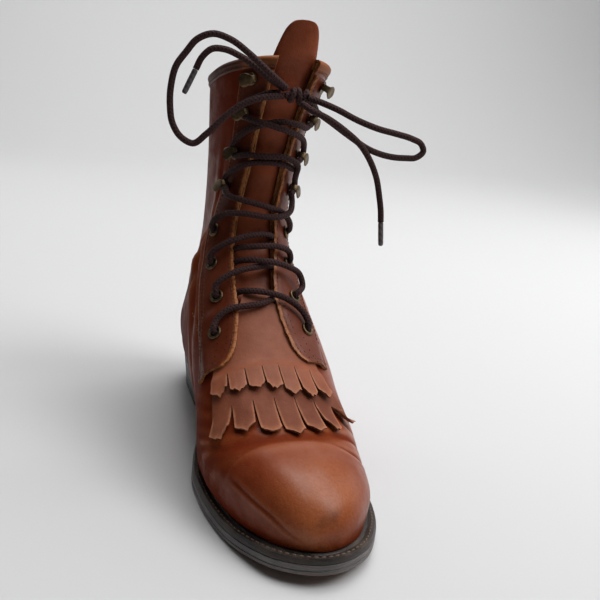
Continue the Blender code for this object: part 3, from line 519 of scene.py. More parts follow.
def grown(name, tree, spots, turns, inputs):
    """The plain mesh that a Geometry Nodes tree makes on the given spots."""
    mesh = bpy.data.meshes.new(name)
    mesh.from_pydata(np.asarray(spots, float).tolist(), [], [])
    angles = np.array([tuple(t) for t in turns], np.float32)
    mesh.attributes.new("turn", "FLOAT_VECTOR", "POINT").data.foreach_set("vector", angles.ravel())
    made = shown(name, mesh)
    step = made.modifiers.new(name, "NODES")
    step.node_group = tree
    for item in tree.interface.items_tree:
        if item.in_out == "INPUT" and item.name in inputs:
            step[item.identifier] = inputs[item.name]
    seen = made.evaluated_get(bpy.context.evaluated_depsgraph_get())
    result = bpy.data.meshes.new_from_object(seen)
    made.modifiers.remove(step)
    made.data = result
    result.name = name
    result.shade_smooth()
    return made


def lengths(points):
    """How far along a line each of its points lies."""
    return np.concatenate([[0], np.cumsum(np.linalg.norm(np.diff(points, axis=0), axis=1))])


def on_line(points, length, at):
    return np.stack([np.interp(at, length, points[:, k]) for k in range(3)], axis=1)


def along_line(points, pitch):
    """Evenly spaced places on a line, with their directions."""
    points = np.asarray(points, float)
    length = lengths(points)
    at = np.arange(pitch / 2, length[-1], pitch)
    ahead = on_line(points, length, at + 0.4) - on_line(points, length, at - 0.4)
    return on_line(points, length, at), ahead


def thread(name, colour, gloss):
    dark = tuple(0.45 * c for c in colour)
    fibres = (1800.0, 2.0)
    grain = (*fibres, 0.0003, 0.6)
    return two_tone(name, fibres, colour, dark, None, grain, Roughness=gloss, Specular_IOR_Level=0.3)


welt_line = plan_loop(
    lambda s: overhang(s) - WELT_STITCH_IN, lambda s: feather_z(s) - WELT_STITCH_DOWN, SOLE_SIDE_POINTS
)
welt_line = np.array(welt_line + welt_line[:1])
welt_spots, welt_ahead = along_line(welt_line, WELT_STITCH_PITCH)
WELT_THREAD = thread("welt_thread", (0.17, 0.115, 0.08), 0.75)
welt_sewing = sewing_tree("welt_stitches", WELT_THREAD)
welt_stitches = grown(
    "welt_stitches",
    welt_sewing,
    placed(welt_spots),
    [turn_to(a, (0, 0, 1)) for a in welt_ahead],
    {"Length": 0.0031, "Thickness": 0.0011},
)
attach(welt_stitches, "root")

# Upper: vamp, quarters and shaft of reddish-brown calf over a drill lining, pulled over the last.
# Wear has broken it across the ball and the ankle, and the shaft has gone slack at the sides.
WALL = 2.2
LEAN = 0.07
LEAN_FROM_Z = 90.0
SHAFT_ROUND = 0.75
SHAFT_RISE = 45.0
ANKLE_BLEND = 1.3
ANKLE_STARTS = (16.5, 19.0)
ANKLE_ENDS = (21.5, 24.0)
ANKLE_FADE = (0.5, 0.98)
TOE_NORMAL = (0.0, -0.96, 0.28)
TABLE_STEP = 0.05
TABLE_SIDE = 130
COLLAR_U = 27.0
THROAT_U = 11.4
SECTION_POINTS = 40
SECTIONS = table(
    "base_s rise crest_s crest_z medial lateral widest squareness ridge",
    (7, 0, 7, 18.9, 0, 0, 0.4, 2, 0), (7.8, 0, 7.2, 24, 6.5, 6.5, 0.4, 2, 0),
    (10.2, 0, 9.5, 30, 11.5, 11.8, 0.38, 2.1, 0), (14.2, 0, 14, 35.6, 17.2, 17.8, 0.36, 2.1, 0),
    (20, 0, 21, 40.5, 22.6, 23.8, 0.34, 2.2, -0.5), (28, 0, 31, 44.4, 28, 30, 0.33, 2.2, -1.5),
    (40, 0, 43, 46.8, 34, 36.8, 0.32, 2.2, -2.5), (53, 0, 55.5, 48.2, 39, 41, 0.32, 2.2, -4),
    (67, 0, 68, 50.5, 42.5, 44, 0.32, 2.2, -5.5), (81, 0, 81, 56, 44.8, 46.2, 0.32, 2.2, -6),
    (96, 0, 94.5, 64.5, 45.5, 47.5, 0.34, 2.2, -6.5), (114, 0, 108, 74.5, 43.5, 47.3, 0.36, 2.2, -7),
    (136, 0, 121, 85, 40.5, 47.5, 0.4, 2.2, -7), (160, 0, 132.5, 95, 39.5, 46.5, 0.44, 2.2, -7),
    (184, 0, 142, 104.5, 39.8, 43.5, 0.46, 2.3, -7), (207, 0, 150, 113.5, 39, 41.5, 0.46, 2.3, -7),
    (228, 0, 156, 122, 37.2, 39, 0.45, 2.4, -7), (247, 0, 160.5, 130.5, 35.2, 35.7, 0.44, 2.4, -7),
    (261, 0, 164, 139, 34.5, 33, 0.44, 2.4, -7), (270, 0, 166.5, 147, 33.5, 30.8, 0.44, 2.4, -7),
    (275, 0, 168, 154.5, 31.5, 28.3, 0.44, 2.4, -6.5), (277, 17, 169.2, 163.5, 27.6, 26, 0.45, 2.4, -5.5),
    (277, 35, 170, 173, 24.3, 24, 0.46, 2.4, -4.5), (274.5, 60, 170, 185, 23.4, 23.6, 0.48, 2.4, -3),
    (270, 90, 169.5, 199, 25, 22.8, 0.5, 2.4, -1.5), (267, 121, 167.5, 214, 27.8, 24.5, 0.5, 2.4, 0),
    (266.5, 153, 165, 228, 31.4, 28, 0.5, 2.4, 1.5), (267.5, 183, 162.5, 240, 34.2, 31, 0.5, 2.4, 3),
    (270, 223, 158.5, 270, 35.5, 32.5, 0.5, 2.4, 4),
)
THROAT = table(
    "u half_gap",
    (0, 0.1), (4, 9), (8, 13), (11.4, 14), (12.5, 13), (13.5, 11.3), (15, 12), (17, 12.7), (19.5, 12),
    (22, 12), (24.5, 12.5), (27, 13), (28, 13),
)
EYELETS = table(
    "u medial lateral",
    (12.5, 25.7, 29.5), (14.1, 23, 26), (16.15, 26, 24), (18.75, 28, 26.5),
)
HOOKS = table(
    "u medial lateral",
    (21.9, 29, 25.5), (23.55, 27.2, 25), (24.95, 25.4, 24.5), (26.2, 25.4, 24),
)
HOLE_CLEAR = 3.1


def lean(z):
    over = np.maximum(z - LEAN_FROM_Z, 0.0)
    soft = 25.0
    return LEAN * np.where(over < soft, over**2 / (2 * soft), over - soft / 2)


def cubic_u(name, u):
    values = np.array([getattr(row, name) for row in SECTIONS], float)
    return cubic(np.arange(len(SECTIONS), dtype=float), values, u)


def half_loop(u, side):
    """One side of the section at u from the crest to the base, and the length along it."""
    row = {name: float(cubic_u(name, u)) for name in SECTIONS[0]._fields}
    base_z = float(feather_z(row["base_s"])) + 2 * GAP + row["rise"]
    back = FEATHER[-1].s
    behind = (row["base_s"] - back) * max(0.0, min(1.0, row["rise"] / 2.0))
    if u <= 0:
        row["crest_z"] = base_z
    power = 2 / row["squareness"]
    turn = np.linspace(0, math.pi / 2, SECTION_POINTS)
    high = row["widest"] + (1 - row["widest"]) * np.sin(turn[::-1]) ** power
    low = row["widest"] * (1 - np.sin(turn) ** power)
    run = row["crest_s"] - row["base_s"]
    foot = feather_half(np.minimum(row["base_s"] + run * low - behind, back), side)
    wide = row["medial" if side < 0 else "lateral"]
    shaft = float(soft_step(row["rise"], 0.0, SHAFT_RISE))
    if shaft > 0:
        foot = foot * (1 - shaft + shaft * min(1.0, SHAFT_ROUND * wide / float(foot[0])))
    wide = max(wide, float(foot[0]))
    high_w = wide * np.abs(np.cos(turn[::-1])) ** power
    low_w = foot + (wide - foot[0]) * np.abs(np.cos(turn)) ** power
    share = np.concatenate([high, low[1:]])
    half = np.concatenate([high_w, low_w[1:]])
    z = base_z + (row["crest_z"] - base_z) * share
    s = row["base_s"] + run * share
    on_top = np.clip((share - row["widest"]) / (1 - row["widest"]), 0, 1)
    points = np.stack([row["ridge"] * on_top + side * half + lean(z), s, z], axis=1)
    return points, lengths(points)


def skin_table():
    """Points, outward directions and half girths of the upper on a fine grid, with the ankle eased."""
    us = np.arange(0, len(SECTIONS) - 1 + TABLE_STEP / 2, TABLE_STEP)
    vs = np.linspace(-1, 1, 2 * TABLE_SIDE + 1)
    raw = np.zeros((len(us), len(vs), 3))
    girths = np.zeros((len(us), 2))
    for row, u in enumerate(us):
        for side, mask in ((-1, vs < 0), (1, vs >= 0)):
            points, length = half_loop(float(u), side)
            girths[row, (side + 1) // 2] = length[-1]
            for k in range(3):
                raw[row, mask, k] = np.interp(np.abs(vs[mask]) * length[-1], length, points[:, k])
    face = raw.copy()
    columns = np.arange(len(vs))
    for row, u in enumerate(us):
        spread = ANKLE_BLEND * soft_step(u, *ANKLE_STARTS) * (1 - soft_step(u, *ANKLE_ENDS))
        if spread < 0.02:
            continue
        spread = spread * (1 - soft_step(np.abs(vs), *ANKLE_FADE))
        total = np.zeros((len(vs), 3))
        for step, weight in zip((-1.0, -0.5, 0.0, 0.5, 1.0), (1, 2, 3, 2, 1)):
            at = np.clip((u + spread * step) / TABLE_STEP, 0, len(us) - 1.001)
            low = at.astype(int)
            f = (at - low)[:, None]
            total += weight * (raw[low, columns] * (1 - f) + raw[low + 1, columns] * f)
        face[row] = total / 9
    out = np.cross(np.gradient(face, axis=1), np.gradient(face, axis=0))
    out /= np.maximum(np.linalg.norm(out, axis=2), 1e-9)[:, :, None]
    out[us < 0.05] = TOE_NORMAL
    return face, out, girths


SKIN_FACE, SKIN_OUT, SKIN_GIRTH = skin_table()


def girth(u, side):
    return float(np.interp(u / TABLE_STEP, np.arange(len(SKIN_GIRTH)), SKIN_GIRTH[:, (side + 1) // 2]))


def skin(u, v, lift=0.0):
    """Points at a height over the upper's face, and the directions out of it, for v from -1 to 1."""
    v = np.atleast_1d(v)
    i = min(max(u / TABLE_STEP, 0.0), len(SKIN_FACE) - 1.001)
    j = np.clip((v + 1) * TABLE_SIDE, 0, 2 * TABLE_SIDE - 0.001)
    i0, j0 = int(i), j.astype(int)
    a, b = i - i0, (j - j0)[:, None]
    found = []
    for grid in (SKIN_FACE, SKIN_OUT):
        low = grid[i0, j0] * (1 - b) + grid[i0, j0 + 1] * b
        high = grid[i0 + 1, j0] * (1 - b) + grid[i0 + 1, j0 + 1] * b
        found.append(low * (1 - a) + high * a)
    out = found[1] / np.linalg.norm(found[1], axis=1)[:, None]
    return found[0] + out * np.asarray(lift, float).reshape(-1, 1), out


def beside(u, distance, lift=0.0):
    """A point at a distance round from the crest, medial if negative."""
    return skin(u, distance / girth(u, -1 if distance < 0 else 1), lift)[0][0]


def half_gap(u):
    return float(smooth(THROAT, "half_gap", u))


def walled(outer, inner, keys, filled):
    """A wall between two like grids: points, faces with slots (outer face, inner face, rim in that order),
    and a function that spreads a grid's values over the points of the outer face."""
    rows, columns = keys.shape[:2]
    names = {}
    number = np.zeros((rows, columns), int)
    top, low = [], []
    for i in range(rows):
        for j in range(columns):
            key = tuple(np.round(keys[i, j], 2))
            if key not in names:
                names[key] = len(top)
                top.append(outer[i, j])
                low.append(inner[i, j])
            number[i, j] = names[key]
    cells = []
    for i in range(rows - 1):
        for j in range(columns - 1):
            if not filled(i, j):
                continue
            ring = [number[i, j], number[i, j + 1], number[i + 1, j + 1], number[i + 1, j]]
            ring = [n for k, n in enumerate(ring) if n != ring[k - 1]]
            if len(ring) > 2:
                cells.append(ring)
    used = sorted({n for ring in cells for n in ring})
    new = {n: k for k, n in enumerate(used)}
    count = len(used)
    edges = {(a, b) for ring in cells for a, b in zip(ring, ring[1:] + ring[:1])}
    faces = [[new[n] for n in ring] for ring in cells]
    slots = [0] * len(cells)
    faces += [[new[n] + count for n in reversed(ring)] for ring in cells]
    slots += [1] * len(cells)
    rim = [(a, b) for a, b in sorted(edges) if (b, a) not in edges]
    faces += [[new[b], new[a], new[a] + count, new[b] + count] for a, b in rim]
    slots += [2] * len(rim)
    points = np.array([top[n] for n in used] + [low[n] for n in used])

    def spread(values):
        chosen = np.zeros(len(points))
        for at in np.ndindex(rows, columns):
            if number[at] in new:
                chosen[new[number[at]]] = values[at]
        return chosen

    return points, faces, slots, spread


CREASES = table(
    "depth width places",
    (0.32, 1, [(6.9, -40), (6.5, -39), (5.6, -36.2), (4.5, -31.1), (3.25, -25.5), (2.1, -18.5)]),
    (0.5, 3.2, [(8.9, -62), (8.4, -48), (7.75, -27), (7.5, -8), (7.6, 17.5), (8.4, 44), (8.9, 60)]),
    (0.75, 1.8, [(7.9, 18), (8.1, 31.7), (8.4, 43.2), (8.75, 57)]),
    (0.55, 1.6, [(7.2, 24), (7.2, 33), (7.4, 46), (7.9, 58)]),
    (0.5, 1.5, [(9.3, 38), (9.2, 48), (9.4, 60)]),
    (0.7, 1.8, [(10.6, -46), (10, -38), (9.7, -30)]),
    (0.6, 1.7, [(9.6, -58), (8.9, -46), (8.1, -35)]),
    (0.5, 1.5, [(10.1, -57), (9.4, -47), (8.7, -39)]),
    (0.6, 2, [(11.6, -62), (11.1, -52), (10.7, -46)]),
    (1.9, 3.4, [(24.6, -50), (23.4, -58), (21.5, -60), (19.4, -55), (16.8, -50), (15, -48), (14, -52),
                 (13.3, -62)]),
    (1.3, 3.4, [(18.6, -46), (17.4, -56), (16.2, -68), (15.2, -82)]),
    (1.5, 3.6, [(20.2, -46), (19.8, -60), (19.4, -76), (19.2, -92)]),
    (1.3, 3.4, [(21.6, -50), (21.8, -64), (22.2, -80)]),
    (1.1, 3.2, [(14.4, -54), (13.6, -66), (12.8, -78)]),
    (1.5, 3.6, [(18.8, 46), (18.4, 58), (18, 74), (17.8, 90)]),
    (1.4, 3.6, [(20.6, 44), (20.6, 58), (20.8, 74), (21.2, 90)]),
    (1, 3.2, [(22.2, 46), (22.4, 60), (22.9, 78)]),
    (0.9, 2.8, [(16, 48), (15.2, 60), (14.4, 72)]),
    (0.45, 1.1, [(20.9, 200), (23, 200), (25, 200), (27, 200)]),
)
CREASE_SHADE = 0.6
CREASE_SHADE_GAIN = 2.4
RIDGE_SHARE = 0.45
RIDGE_SHADE_LIFT = 0.45
RIDGE_RUB = 0.22
RIDGE_AT = 2.2
RIDGE_WIDTH = 1.3
LUMPS = [(0.35, 26.0), (0.12, 9.0)]
COVERED_TO = (38.0, 46.0)
FRINGED_TO = (36.0, 48.0)
FRINGED_U = (7.2, 11.8)
FLAT_COLLAR_U = (25.6, 26.4)
FLAT_FEATHER = (0.5, 4.0)
LOW_SHADE = (1.0, 13.0)
INNER_X = (2.0, 24.0)
INNER_U = (5.0, 12.5)
BACK_S = (186.0, 212.0)
BACK_U = (18.5, 21.0)
INNER_TOE_X = (13.0, 30.0)
INNER_TOE_U = (7.0, 12.0)
# The shade patches are painted shade on the inner side and beside the fringe. The scuff and rub patches are
# wear.
PATCHES = table(
    "mark u distance radius weight",
    ("scuff", 2.2, 1, 4, 0.65), ("scuff", 1.9, -3.5, 2.5, 0.5), ("scuff", 2.6, 5, 2.2, 0.4),
    ("scuff", 1.4, 6, 3, 0.35), ("rub", 3.2, -4, 22, 0.55), ("rub", 5.6, 4, 20, 0.35),
    ("rub", 1.6, -10, 9, 0.35), ("rub", 4.2, 18, 14, 0.3), ("shade", 10.8, -50, 16, 0.45),
    ("shade", 10.6, 54, 14, 0.25), ("shade", 15.5, -62, 24, 0.45), ("shade", 18.5, -52, 20, 0.3),
    ("shade", 24.5, -60, 30, 0.25),
)
UPPER_SIDE = 64
UPPER_THROAT = 16
STATION_RUNS = [(0, 1, 8), (1, 3, 12), (3, THROAT_U, 75)]
SHAFT_STATIONS = 92


def upper_stations():
    runs = [np.linspace(first, last, count + 1)[:-1] for first, last, count in STATION_RUNS]
    return np.concatenate(runs + [np.linspace(THROAT_U, COLLAR_U, SHAFT_STATIONS)])


def skin_columns(u):
    """v of the grid's columns: even round each side, with one on each edge of the throat."""
    medial, lateral = [half_gap(u) / girth(u, side) if u > 0.01 else 0.2 for side in (-1, 1)]
    inner = np.linspace(-1, -medial, UPPER_SIDE + 1)
    middle = np.linspace(-medial, lateral, UPPER_THROAT + 1)[1:-1]
    return np.concatenate([inner, middle, np.linspace(lateral, 1, UPPER_SIDE + 1)])


def round_at(u, distance):
    """A place on the skin; distances past the back stop at its middle."""
    side = -1 if distance < 0 else 1
    return skin(u, np.clip(distance / girth(u, side), -1, 1))[0][0]


def line_distance(points, line):
    """Distance from every point to a line of places, and how far along it the nearest is."""
    best = np.full(len(points), 1e9)
    share = np.zeros(len(points))
    count = len(line) - 1
    for k in range(count):
        a, b = line[k], line[k + 1]
        f = np.clip(((points - a) @ (b - a)) / np.dot(b - a, b - a), 0, 1)
        gap = np.linalg.norm(points - a - f[:, None] * (b - a), axis=1)
        nearer = gap < best
        best[nearer] = gap[nearer]
        share[nearer] = (k + f[nearer]) / count
    return best, share


def curved(places, count=24):
    """Skin points along a line of (u, distance) places."""
    places = np.array(places, float)
    at = np.linspace(0, len(places) - 1, count)
    us = cubic(np.arange(len(places), dtype=float), places[:, 0], at)
    ds = cubic(np.arange(len(places), dtype=float), places[:, 1], at)
    return np.array([round_at(u, d) for u, d in zip(us, ds)])


stations = upper_stations()
upper_face = np.zeros((len(stations), 2 * UPPER_SIDE + UPPER_THROAT + 1, 3))
upper_out = np.zeros_like(upper_face)
upper_size = upper_face.shape[:2]
crest_gap = np.zeros(upper_size)
for row, u in enumerate(stations):
    row_vs = skin_columns(u)
    upper_face[row], upper_out[row] = skin(u, row_vs)
    crest_gap[row] = np.abs(row_vs * np.where(row_vs < 0, girth(u, -1), girth(u, 1)))
joined = np.linalg.norm(upper_face[:, 0] - upper_face[:, -1], axis=1) < 0.01
upper_out[joined, 0] += upper_out[joined, -1]
upper_out[joined, 0] /= np.linalg.norm(upper_out[joined, 0], axis=1)[:, None]
upper_out[joined, -1] = upper_out[joined, 0]
flat_face = upper_face.reshape(-1, 3)
height = np.zeros(len(flat_face))
marks = {mark: np.zeros(len(flat_face)) for mark in ("shade", "rub", "scuff")}
# Each crease dents the face. Its trough gets painted shade, and the ridges beside it lose some painted shade,
# so they read lighter and glossier as a painted highlight.
for crease in CREASES:
    gap, share = line_distance(flat_face, curved(crease.places))
    taper = np.sin(math.pi * np.clip(share, 0.02, 0.98)) ** 0.6
    trough = np.exp(-((gap / crease.width) ** 2)) * taper
    ridge = np.exp(-(((gap - RIDGE_AT * crease.width) / (RIDGE_WIDTH * crease.width)) ** 2)) * taper
    height -= crease.depth * trough
    height += RIDGE_SHARE * crease.depth * ridge
    marks["shade"] += CREASE_SHADE * trough * min(1.0, CREASE_SHADE_GAIN * crease.depth)
    marks["rub"] += RIDGE_RUB * ridge
    marks["shade"] -= RIDGE_SHADE_LIFT * ridge * min(1.0, crease.depth)
for patch in PATCHES:
    from_middle = np.linalg.norm(flat_face - round_at(patch.u, patch.distance), axis=1)
    marks[patch.mark] += patch.weight * np.exp(-((from_middle / patch.radius) ** 2))
for n, p in enumerate(flat_face):
    height[n] += sum(size * noise.noise(Vector(p) / span) for size, span in LUMPS)
us_of = np.repeat(stations, upper_size[1])
crest_gap = crest_gap.ravel()
above_sole = flat_face[:, 2] - feather_z(flat_face[:, 1])
covered = np.where(us_of > THROAT_U - 0.4, 1 - soft_step(crest_gap, *COVERED_TO), 0.0)
in_fringe = (us_of > FRINGED_U[0]) & (us_of <= FRINGED_U[1])
tucked = np.maximum(covered, np.where(in_fringe, 1 - soft_step(crest_gap, *FRINGED_TO), 0.0))
height = np.where(height > 0, height * (1 - tucked), height)
height *= 1 - 0.9 * soft_step(us_of, *FLAT_COLLAR_U)
feather_edge = 1 - soft_step(above_sole - 2 * GAP, *FLAT_FEATHER)
height *= 1 - feather_edge
low_edge = 1 - soft_step(above_sole, *LOW_SHADE)
inner_side = soft_step(-flat_face[:, 0], *INNER_X) * soft_step(us_of, *INNER_U)
inner_side *= 1 - 0.4 * soft_step(flat_face[:, 1], *BACK_S) * soft_step(us_of, *BACK_U)
inner_toe = soft_step(-flat_face[:, 0], *INNER_TOE_X) * (1 - soft_step(us_of, *INNER_TOE_U))
# Painted shade through the shade mark: along the feather edge, towards the bottom, under the fringe and the
# eyestays' flaps, on the inner side and on the inner toe. The back of the inner side (BACK_S, BACK_U) keeps
# less of it, so a sheen shows at its edge.
marks["shade"] += 0.35 * feather_edge + 0.4 * low_edge + 0.45 * tucked * (us_of < 12)
marks["shade"] += 0.75 * inner_side + 0.45 * inner_toe
upper_height = height.reshape(upper_size)[:, :, None]
upper_outer = upper_face + upper_out * upper_height
upper_inner = upper_face + upper_out * (np.minimum(upper_height, 0.4) - WALL)
floor_z = feather_z(upper_inner[:, :, 1]) + 2 * GAP
upper_inner[:, :, 2] = np.maximum(upper_inner[:, :, 2], floor_z)
slit_row = int(np.argmin(np.abs(stations - THROAT_U)))
throat_columns = range(UPPER_SIDE, UPPER_SIDE + UPPER_THROAT)
hole_spots = [round_at(fitting.u, d) for fitting in EYELETS for d in (-fitting.medial, fitting.lateral)]


def upper_filled(i, j):
    if i >= slit_row and j in throat_columns:
        return False
    middle = (upper_face[i, j] + upper_face[i + 1, j + 1]) / 2
    return min(np.linalg.norm(middle - spot) for spot in hole_spots) > HOLE_CLEAR


def leather(name, colour, deep, worn, grain=1.0, roughness=0.36, coat=0.85, shine=0.02, fleck=2.2):
    """Waxed calf: clouded brown, with painted shade where the shade mark lies (creases, lower edges, the
    inner side, under overlaps), which also takes off its coat; rubbed lighter on ridges, with a fine pebbled
    grain.
    """
    finish = Finish(name, Specular_IOR_Level=shine, Coat_Roughness=0.36)
    at = finish.where()
    large = finish.cloud(at, 22.0, 4.0, 0.6)
    middle = finish.cloud(at, 95.0, 5.0, 0.6)
    streaks = finish.cloud(at, 60.0, 4.0, 0.65, (1.0, 0.35, 1.6))
    fine = finish.cloud(at, 1500.0, 3.0, 0.6)
    flecks = finish.cloud(at, 560.0, 4.0, 0.7)
    pebbles = {"Vector": at, "Scale": 950.0, "Smoothness": 0.35}
    cells = finish.node("ShaderNodeTexVoronoi", {"feature": "SMOOTH_F1"}, pebbles)
    shade = finish.mark("shade")
    rub = finish.mark("rub")
    scuff = finish.mark("scuff")
    share = (0.28 + 1.5 * (large - 0.5) + 0.7 * (middle - 0.5) + 0.5 * (streaks - 0.5) + shade).held()
    base = finish.mix(share, colour, deep)
    lighter = (rub * (0.5 + 1.1 * middle + fleck * (flecks - 0.5))).held()
    base = finish.mix(lighter, base, worn)
    broken = (scuff * (0.3 + 1.8 * (middle - 0.35))).held()
    base = finish.mix(broken, base, (0.03, 0.018, 0.014))
    base = finish.mix((fine - 0.45) * 0.5, base, deep)
    finish.feed(
        Base_Color=base,
        Roughness=(roughness + 0.22 * (middle - 0.5) + 0.25 * shade + 0.12 * rub + 0.25 * broken).held(),
        Coat_Weight=(coat * (1.03 - share) - 0.2 * broken).held(),
        Normal=finish.relief(
            cells * 0.6 + fine * 0.5,
            0.00022 * grain,
            0.55,
            over=finish.relief(middle + 0.6 * streaks, 0.0012 * grain, 0.35),
        ),
    )
    return finish.made


def raw_edge(name, colour, dark):
    """Cut leather edge: pale orange fibre with dark flecks where the dye ran in."""
    finish = Finish(name, Specular_IOR_Level=0.2)
    at = finish.where()
    flecks = finish.cloud(at, 420.0, 5.0, 0.7)
    fibre = finish.cloud(at, 2200.0, 3.0, 0.7)
    finish.feed(
        Base_Color=finish.mix((3.4 * (flecks - 0.42)).held(), colour, dark),
        Roughness=0.72 + 0.2 * fibre,
        Normal=finish.relief(fibre + flecks, 0.001, 0.9),
    )
    return finish.made


UPPER_LEATHER = leather(
    "upper_brown_calf", (0.24, 0.049, 0.0135), (0.13, 0.0175, 0.005), (0.34, 0.098, 0.031)
)
EDGE_TAN = raw_edge("raw_edge_tan", (0.42, 0.17, 0.055), (0.09, 0.03, 0.013))
lining_finish = Finish("lining_dark_drill", Specular_IOR_Level=0.2)
lining_at = lining_finish.where()
lining_weave = lining_finish.bands(lining_at, 260.0)
lining_soil = lining_finish.cloud(lining_at, 40.0, 4.0)
lining_finish.feed(
    Base_Color=lining_finish.mix(lining_soil, (0.07, 0.035, 0.022), (0.03, 0.016, 0.011)),
    Roughness=0.8 + 0.1 * lining_soil,
    Normal=lining_finish.relief(lining_weave, 0.0001, 0.3),
)
LINING = lining_finish.made

upper_points, upper_faces, upper_slots, spread_upper = walled(
    upper_outer, upper_inner, upper_face, upper_filled
)
upper_marks = {mark: spread_upper(values.reshape(upper_size)) for mark, values in marks.items()}
upper_finishes = [UPPER_LEATHER, LINING, EDGE_TAN]
upper = piece("upper_shell", upper_points, upper_faces, upper_finishes, upper_slots, upper_marks, 60.0)
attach(upper, "root")
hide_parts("upper")

# Insole: a board covered with a thin tan sock, resting on the welt inside the upper.
# Only the heel part shows, down the shaft, and it is polished by the foot.
INSOLE_SOCK = two_tone(
    "insole_tan_sock",
    (35.0, 4.0, 0.6),
    (0.33, 0.19, 0.1),
    (0.14, 0.075, 0.04),
    (0.55, 0.25),
    (1100.0, 3.0, 0.0003, 0.5),
    Specular_IOR_Level=0.3,
)
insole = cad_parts["insole"]
insole.data.materials.clear()
insole.data.materials.append(INSOLE_SOCK)

# Tongue: one strip of the same calf behind the throat, sewn in under the kiltie's root.
# It stands above the collar, cupped round the shin, with a skived and rounded edge.
TONGUE_THICK = 2.2
BEHIND_BINDING = 1.4
SINK_U = (24.9, 26.2)
TONGUE = table(
    "u half_width",
    (10.6, 17), (12, 19.5), (20, 20), (25, 21), (26.6, 20), (27, 18.6), (27.3, 16.6), (27.5, 14.4),
    (27.63, 12), (27.7, 9.2), (27.735, 6.4), (27.75, 2.5),
)
TONGUE_CURVE_U = 26.9
TONGUE_ROWS = 100
TONGUE_CURVE_ROWS = 24
TONGUE_COLUMNS = 25

tongue_top = np.zeros((TONGUE_ROWS, TONGUE_COLUMNS, 3))
tongue_low = np.zeros_like(tongue_top)
tongue_low_us = np.linspace(TONGUE[0].u, TONGUE_CURVE_U, TONGUE_ROWS - TONGUE_CURVE_ROWS)
tongue_turn = np.sin(np.linspace(0, math.pi / 2, TONGUE_CURVE_ROWS + 1)[1:])
tongue_top_us = TONGUE_CURVE_U + (TONGUE[-1].u - TONGUE_CURVE_U) * tongue_turn
for i, u in enumerate(np.concatenate([tongue_low_us, tongue_top_us])):
    half = float(smooth(TONGUE, "half_width", u))
    depth = -(WALL + 5 * GAP) - BEHIND_BINDING * float(soft_step(u, *SINK_U))
    for j, f in enumerate(np.linspace(-1, 1, TONGUE_COLUMNS)):
        edge = max(0.0, abs(f) - 0.8) / 0.2
        wave = 0.25 * math.sin(u * 2.1 + 1.5 * f) + 0.2 * math.sin(u * 4.7 - 2.0 * f)
        skived = 0.7 * edge**2
        tongue_top[i, j] = beside(u, half * f, depth - skived + wave * (1 - edge))
        tongue_low[i, j] = beside(u, half * f, depth - TONGUE_THICK + 0.5 * skived + wave * (1 - edge))
# The tongue's calf is painted lighter than the upper's: painted light on a strip that lies in shade in the
# throat.
TONGUE_LIT_LEATHER = leather(
    "tongue_brown_calf", (0.27, 0.064, 0.025), (0.1, 0.024, 0.012), (0.3, 0.1, 0.045), 1.3, 0.42, 0.25
)
tongue_points, tongue_faces, tongue_slots, _ = walled(tongue_top, tongue_low, tongue_top, lambda i, j: True)
tongue_finishes = [TONGUE_LIT_LEATHER, LINING, TONGUE_LIT_LEATHER]
tongue = piece("tongue_strip", tongue_points, tongue_faces, tongue_finishes, tongue_slots, None, 60.0)
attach(tongue, "root")
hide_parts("tongue")

# Kiltie: two loose layers of softer, paler leather over the vamp, their front ends slit by hand
# into pointed strips. They are caught under the eyestays' flaps and curl up at the tips.
OVERLAY = 1.5
LAYER_GAP = 0.5
SLIT = 0.5
CLIMB_U = (10.6, 11.0)
KILTIE_UPPER = table(
    "u medial lateral",
    (14.1, 4, 4), (13.9, 7.5, 7.5), (13.4, 10.4, 10.4), (12.8, 15.5, 15.5), (12.2, 21.5, 21.5),
    (11.6, 28.5, 29), (11, 31.5, 32.5), (10.7, 32.5, 33.5),
)
KILTIE_LOWER = table(
    "u medial lateral",
    (10.5, 33, 36), (10, 35, 41), (9.5, 36.5, 46),
)
STRIPS_UPPER = table(
    "tip_u curl twist skew",
    (9.95, 1.6, 0.9, -1.2), (9.8, 1.3, -0.6, -0.6), (9.78, 1.2, 0.5, -0.1), (9.7, 1.5, -0.8, 0.3),
    (9.5, 1.3, 0.8, 0.7), (9.5, 1.5, -0.6, 1.1), (9.65, 1.9, 0.9, 1.5),
)
STRIPS_LOWER = table(
    "tip_u curl twist skew",
    (8.45, 1.4, -1.2, -3.4), (8.15, 1, 0.7, -1.5), (7.72, 1.1, -0.5, -0.3), (7.55, 0.9, 0.6, 0.7),
    (7.75, 1.5, 0.9, 1.6), (8.2, 1.4, -1, 2.6), (9.05, 3.4, 1.4, 5),
)
PANEL_ROWS = 26
STRIP_ROWS = 18
STRIP_COLUMNS = 9
POINT_U = (0.36, 0.26)
TIP_WAVER = 0.065


def kiltie_lift(layer, u):
    return LAYER_GAP + layer * (OVERLAY + LAYER_GAP) * (1 - float(soft_step(u, *CLIMB_U)))


KILTIE_LEATHER = leather(
    "kiltie_soft_calf", (0.29, 0.085, 0.038), (0.14, 0.036, 0.016), (0.42, 0.17, 0.09), 0.8, 0.55, 0.05, 0.2
)
KILTIE_EDGE = raw_edge("kiltie_cut_edge", (0.3, 0.13, 0.065), (0.14, 0.05, 0.025))


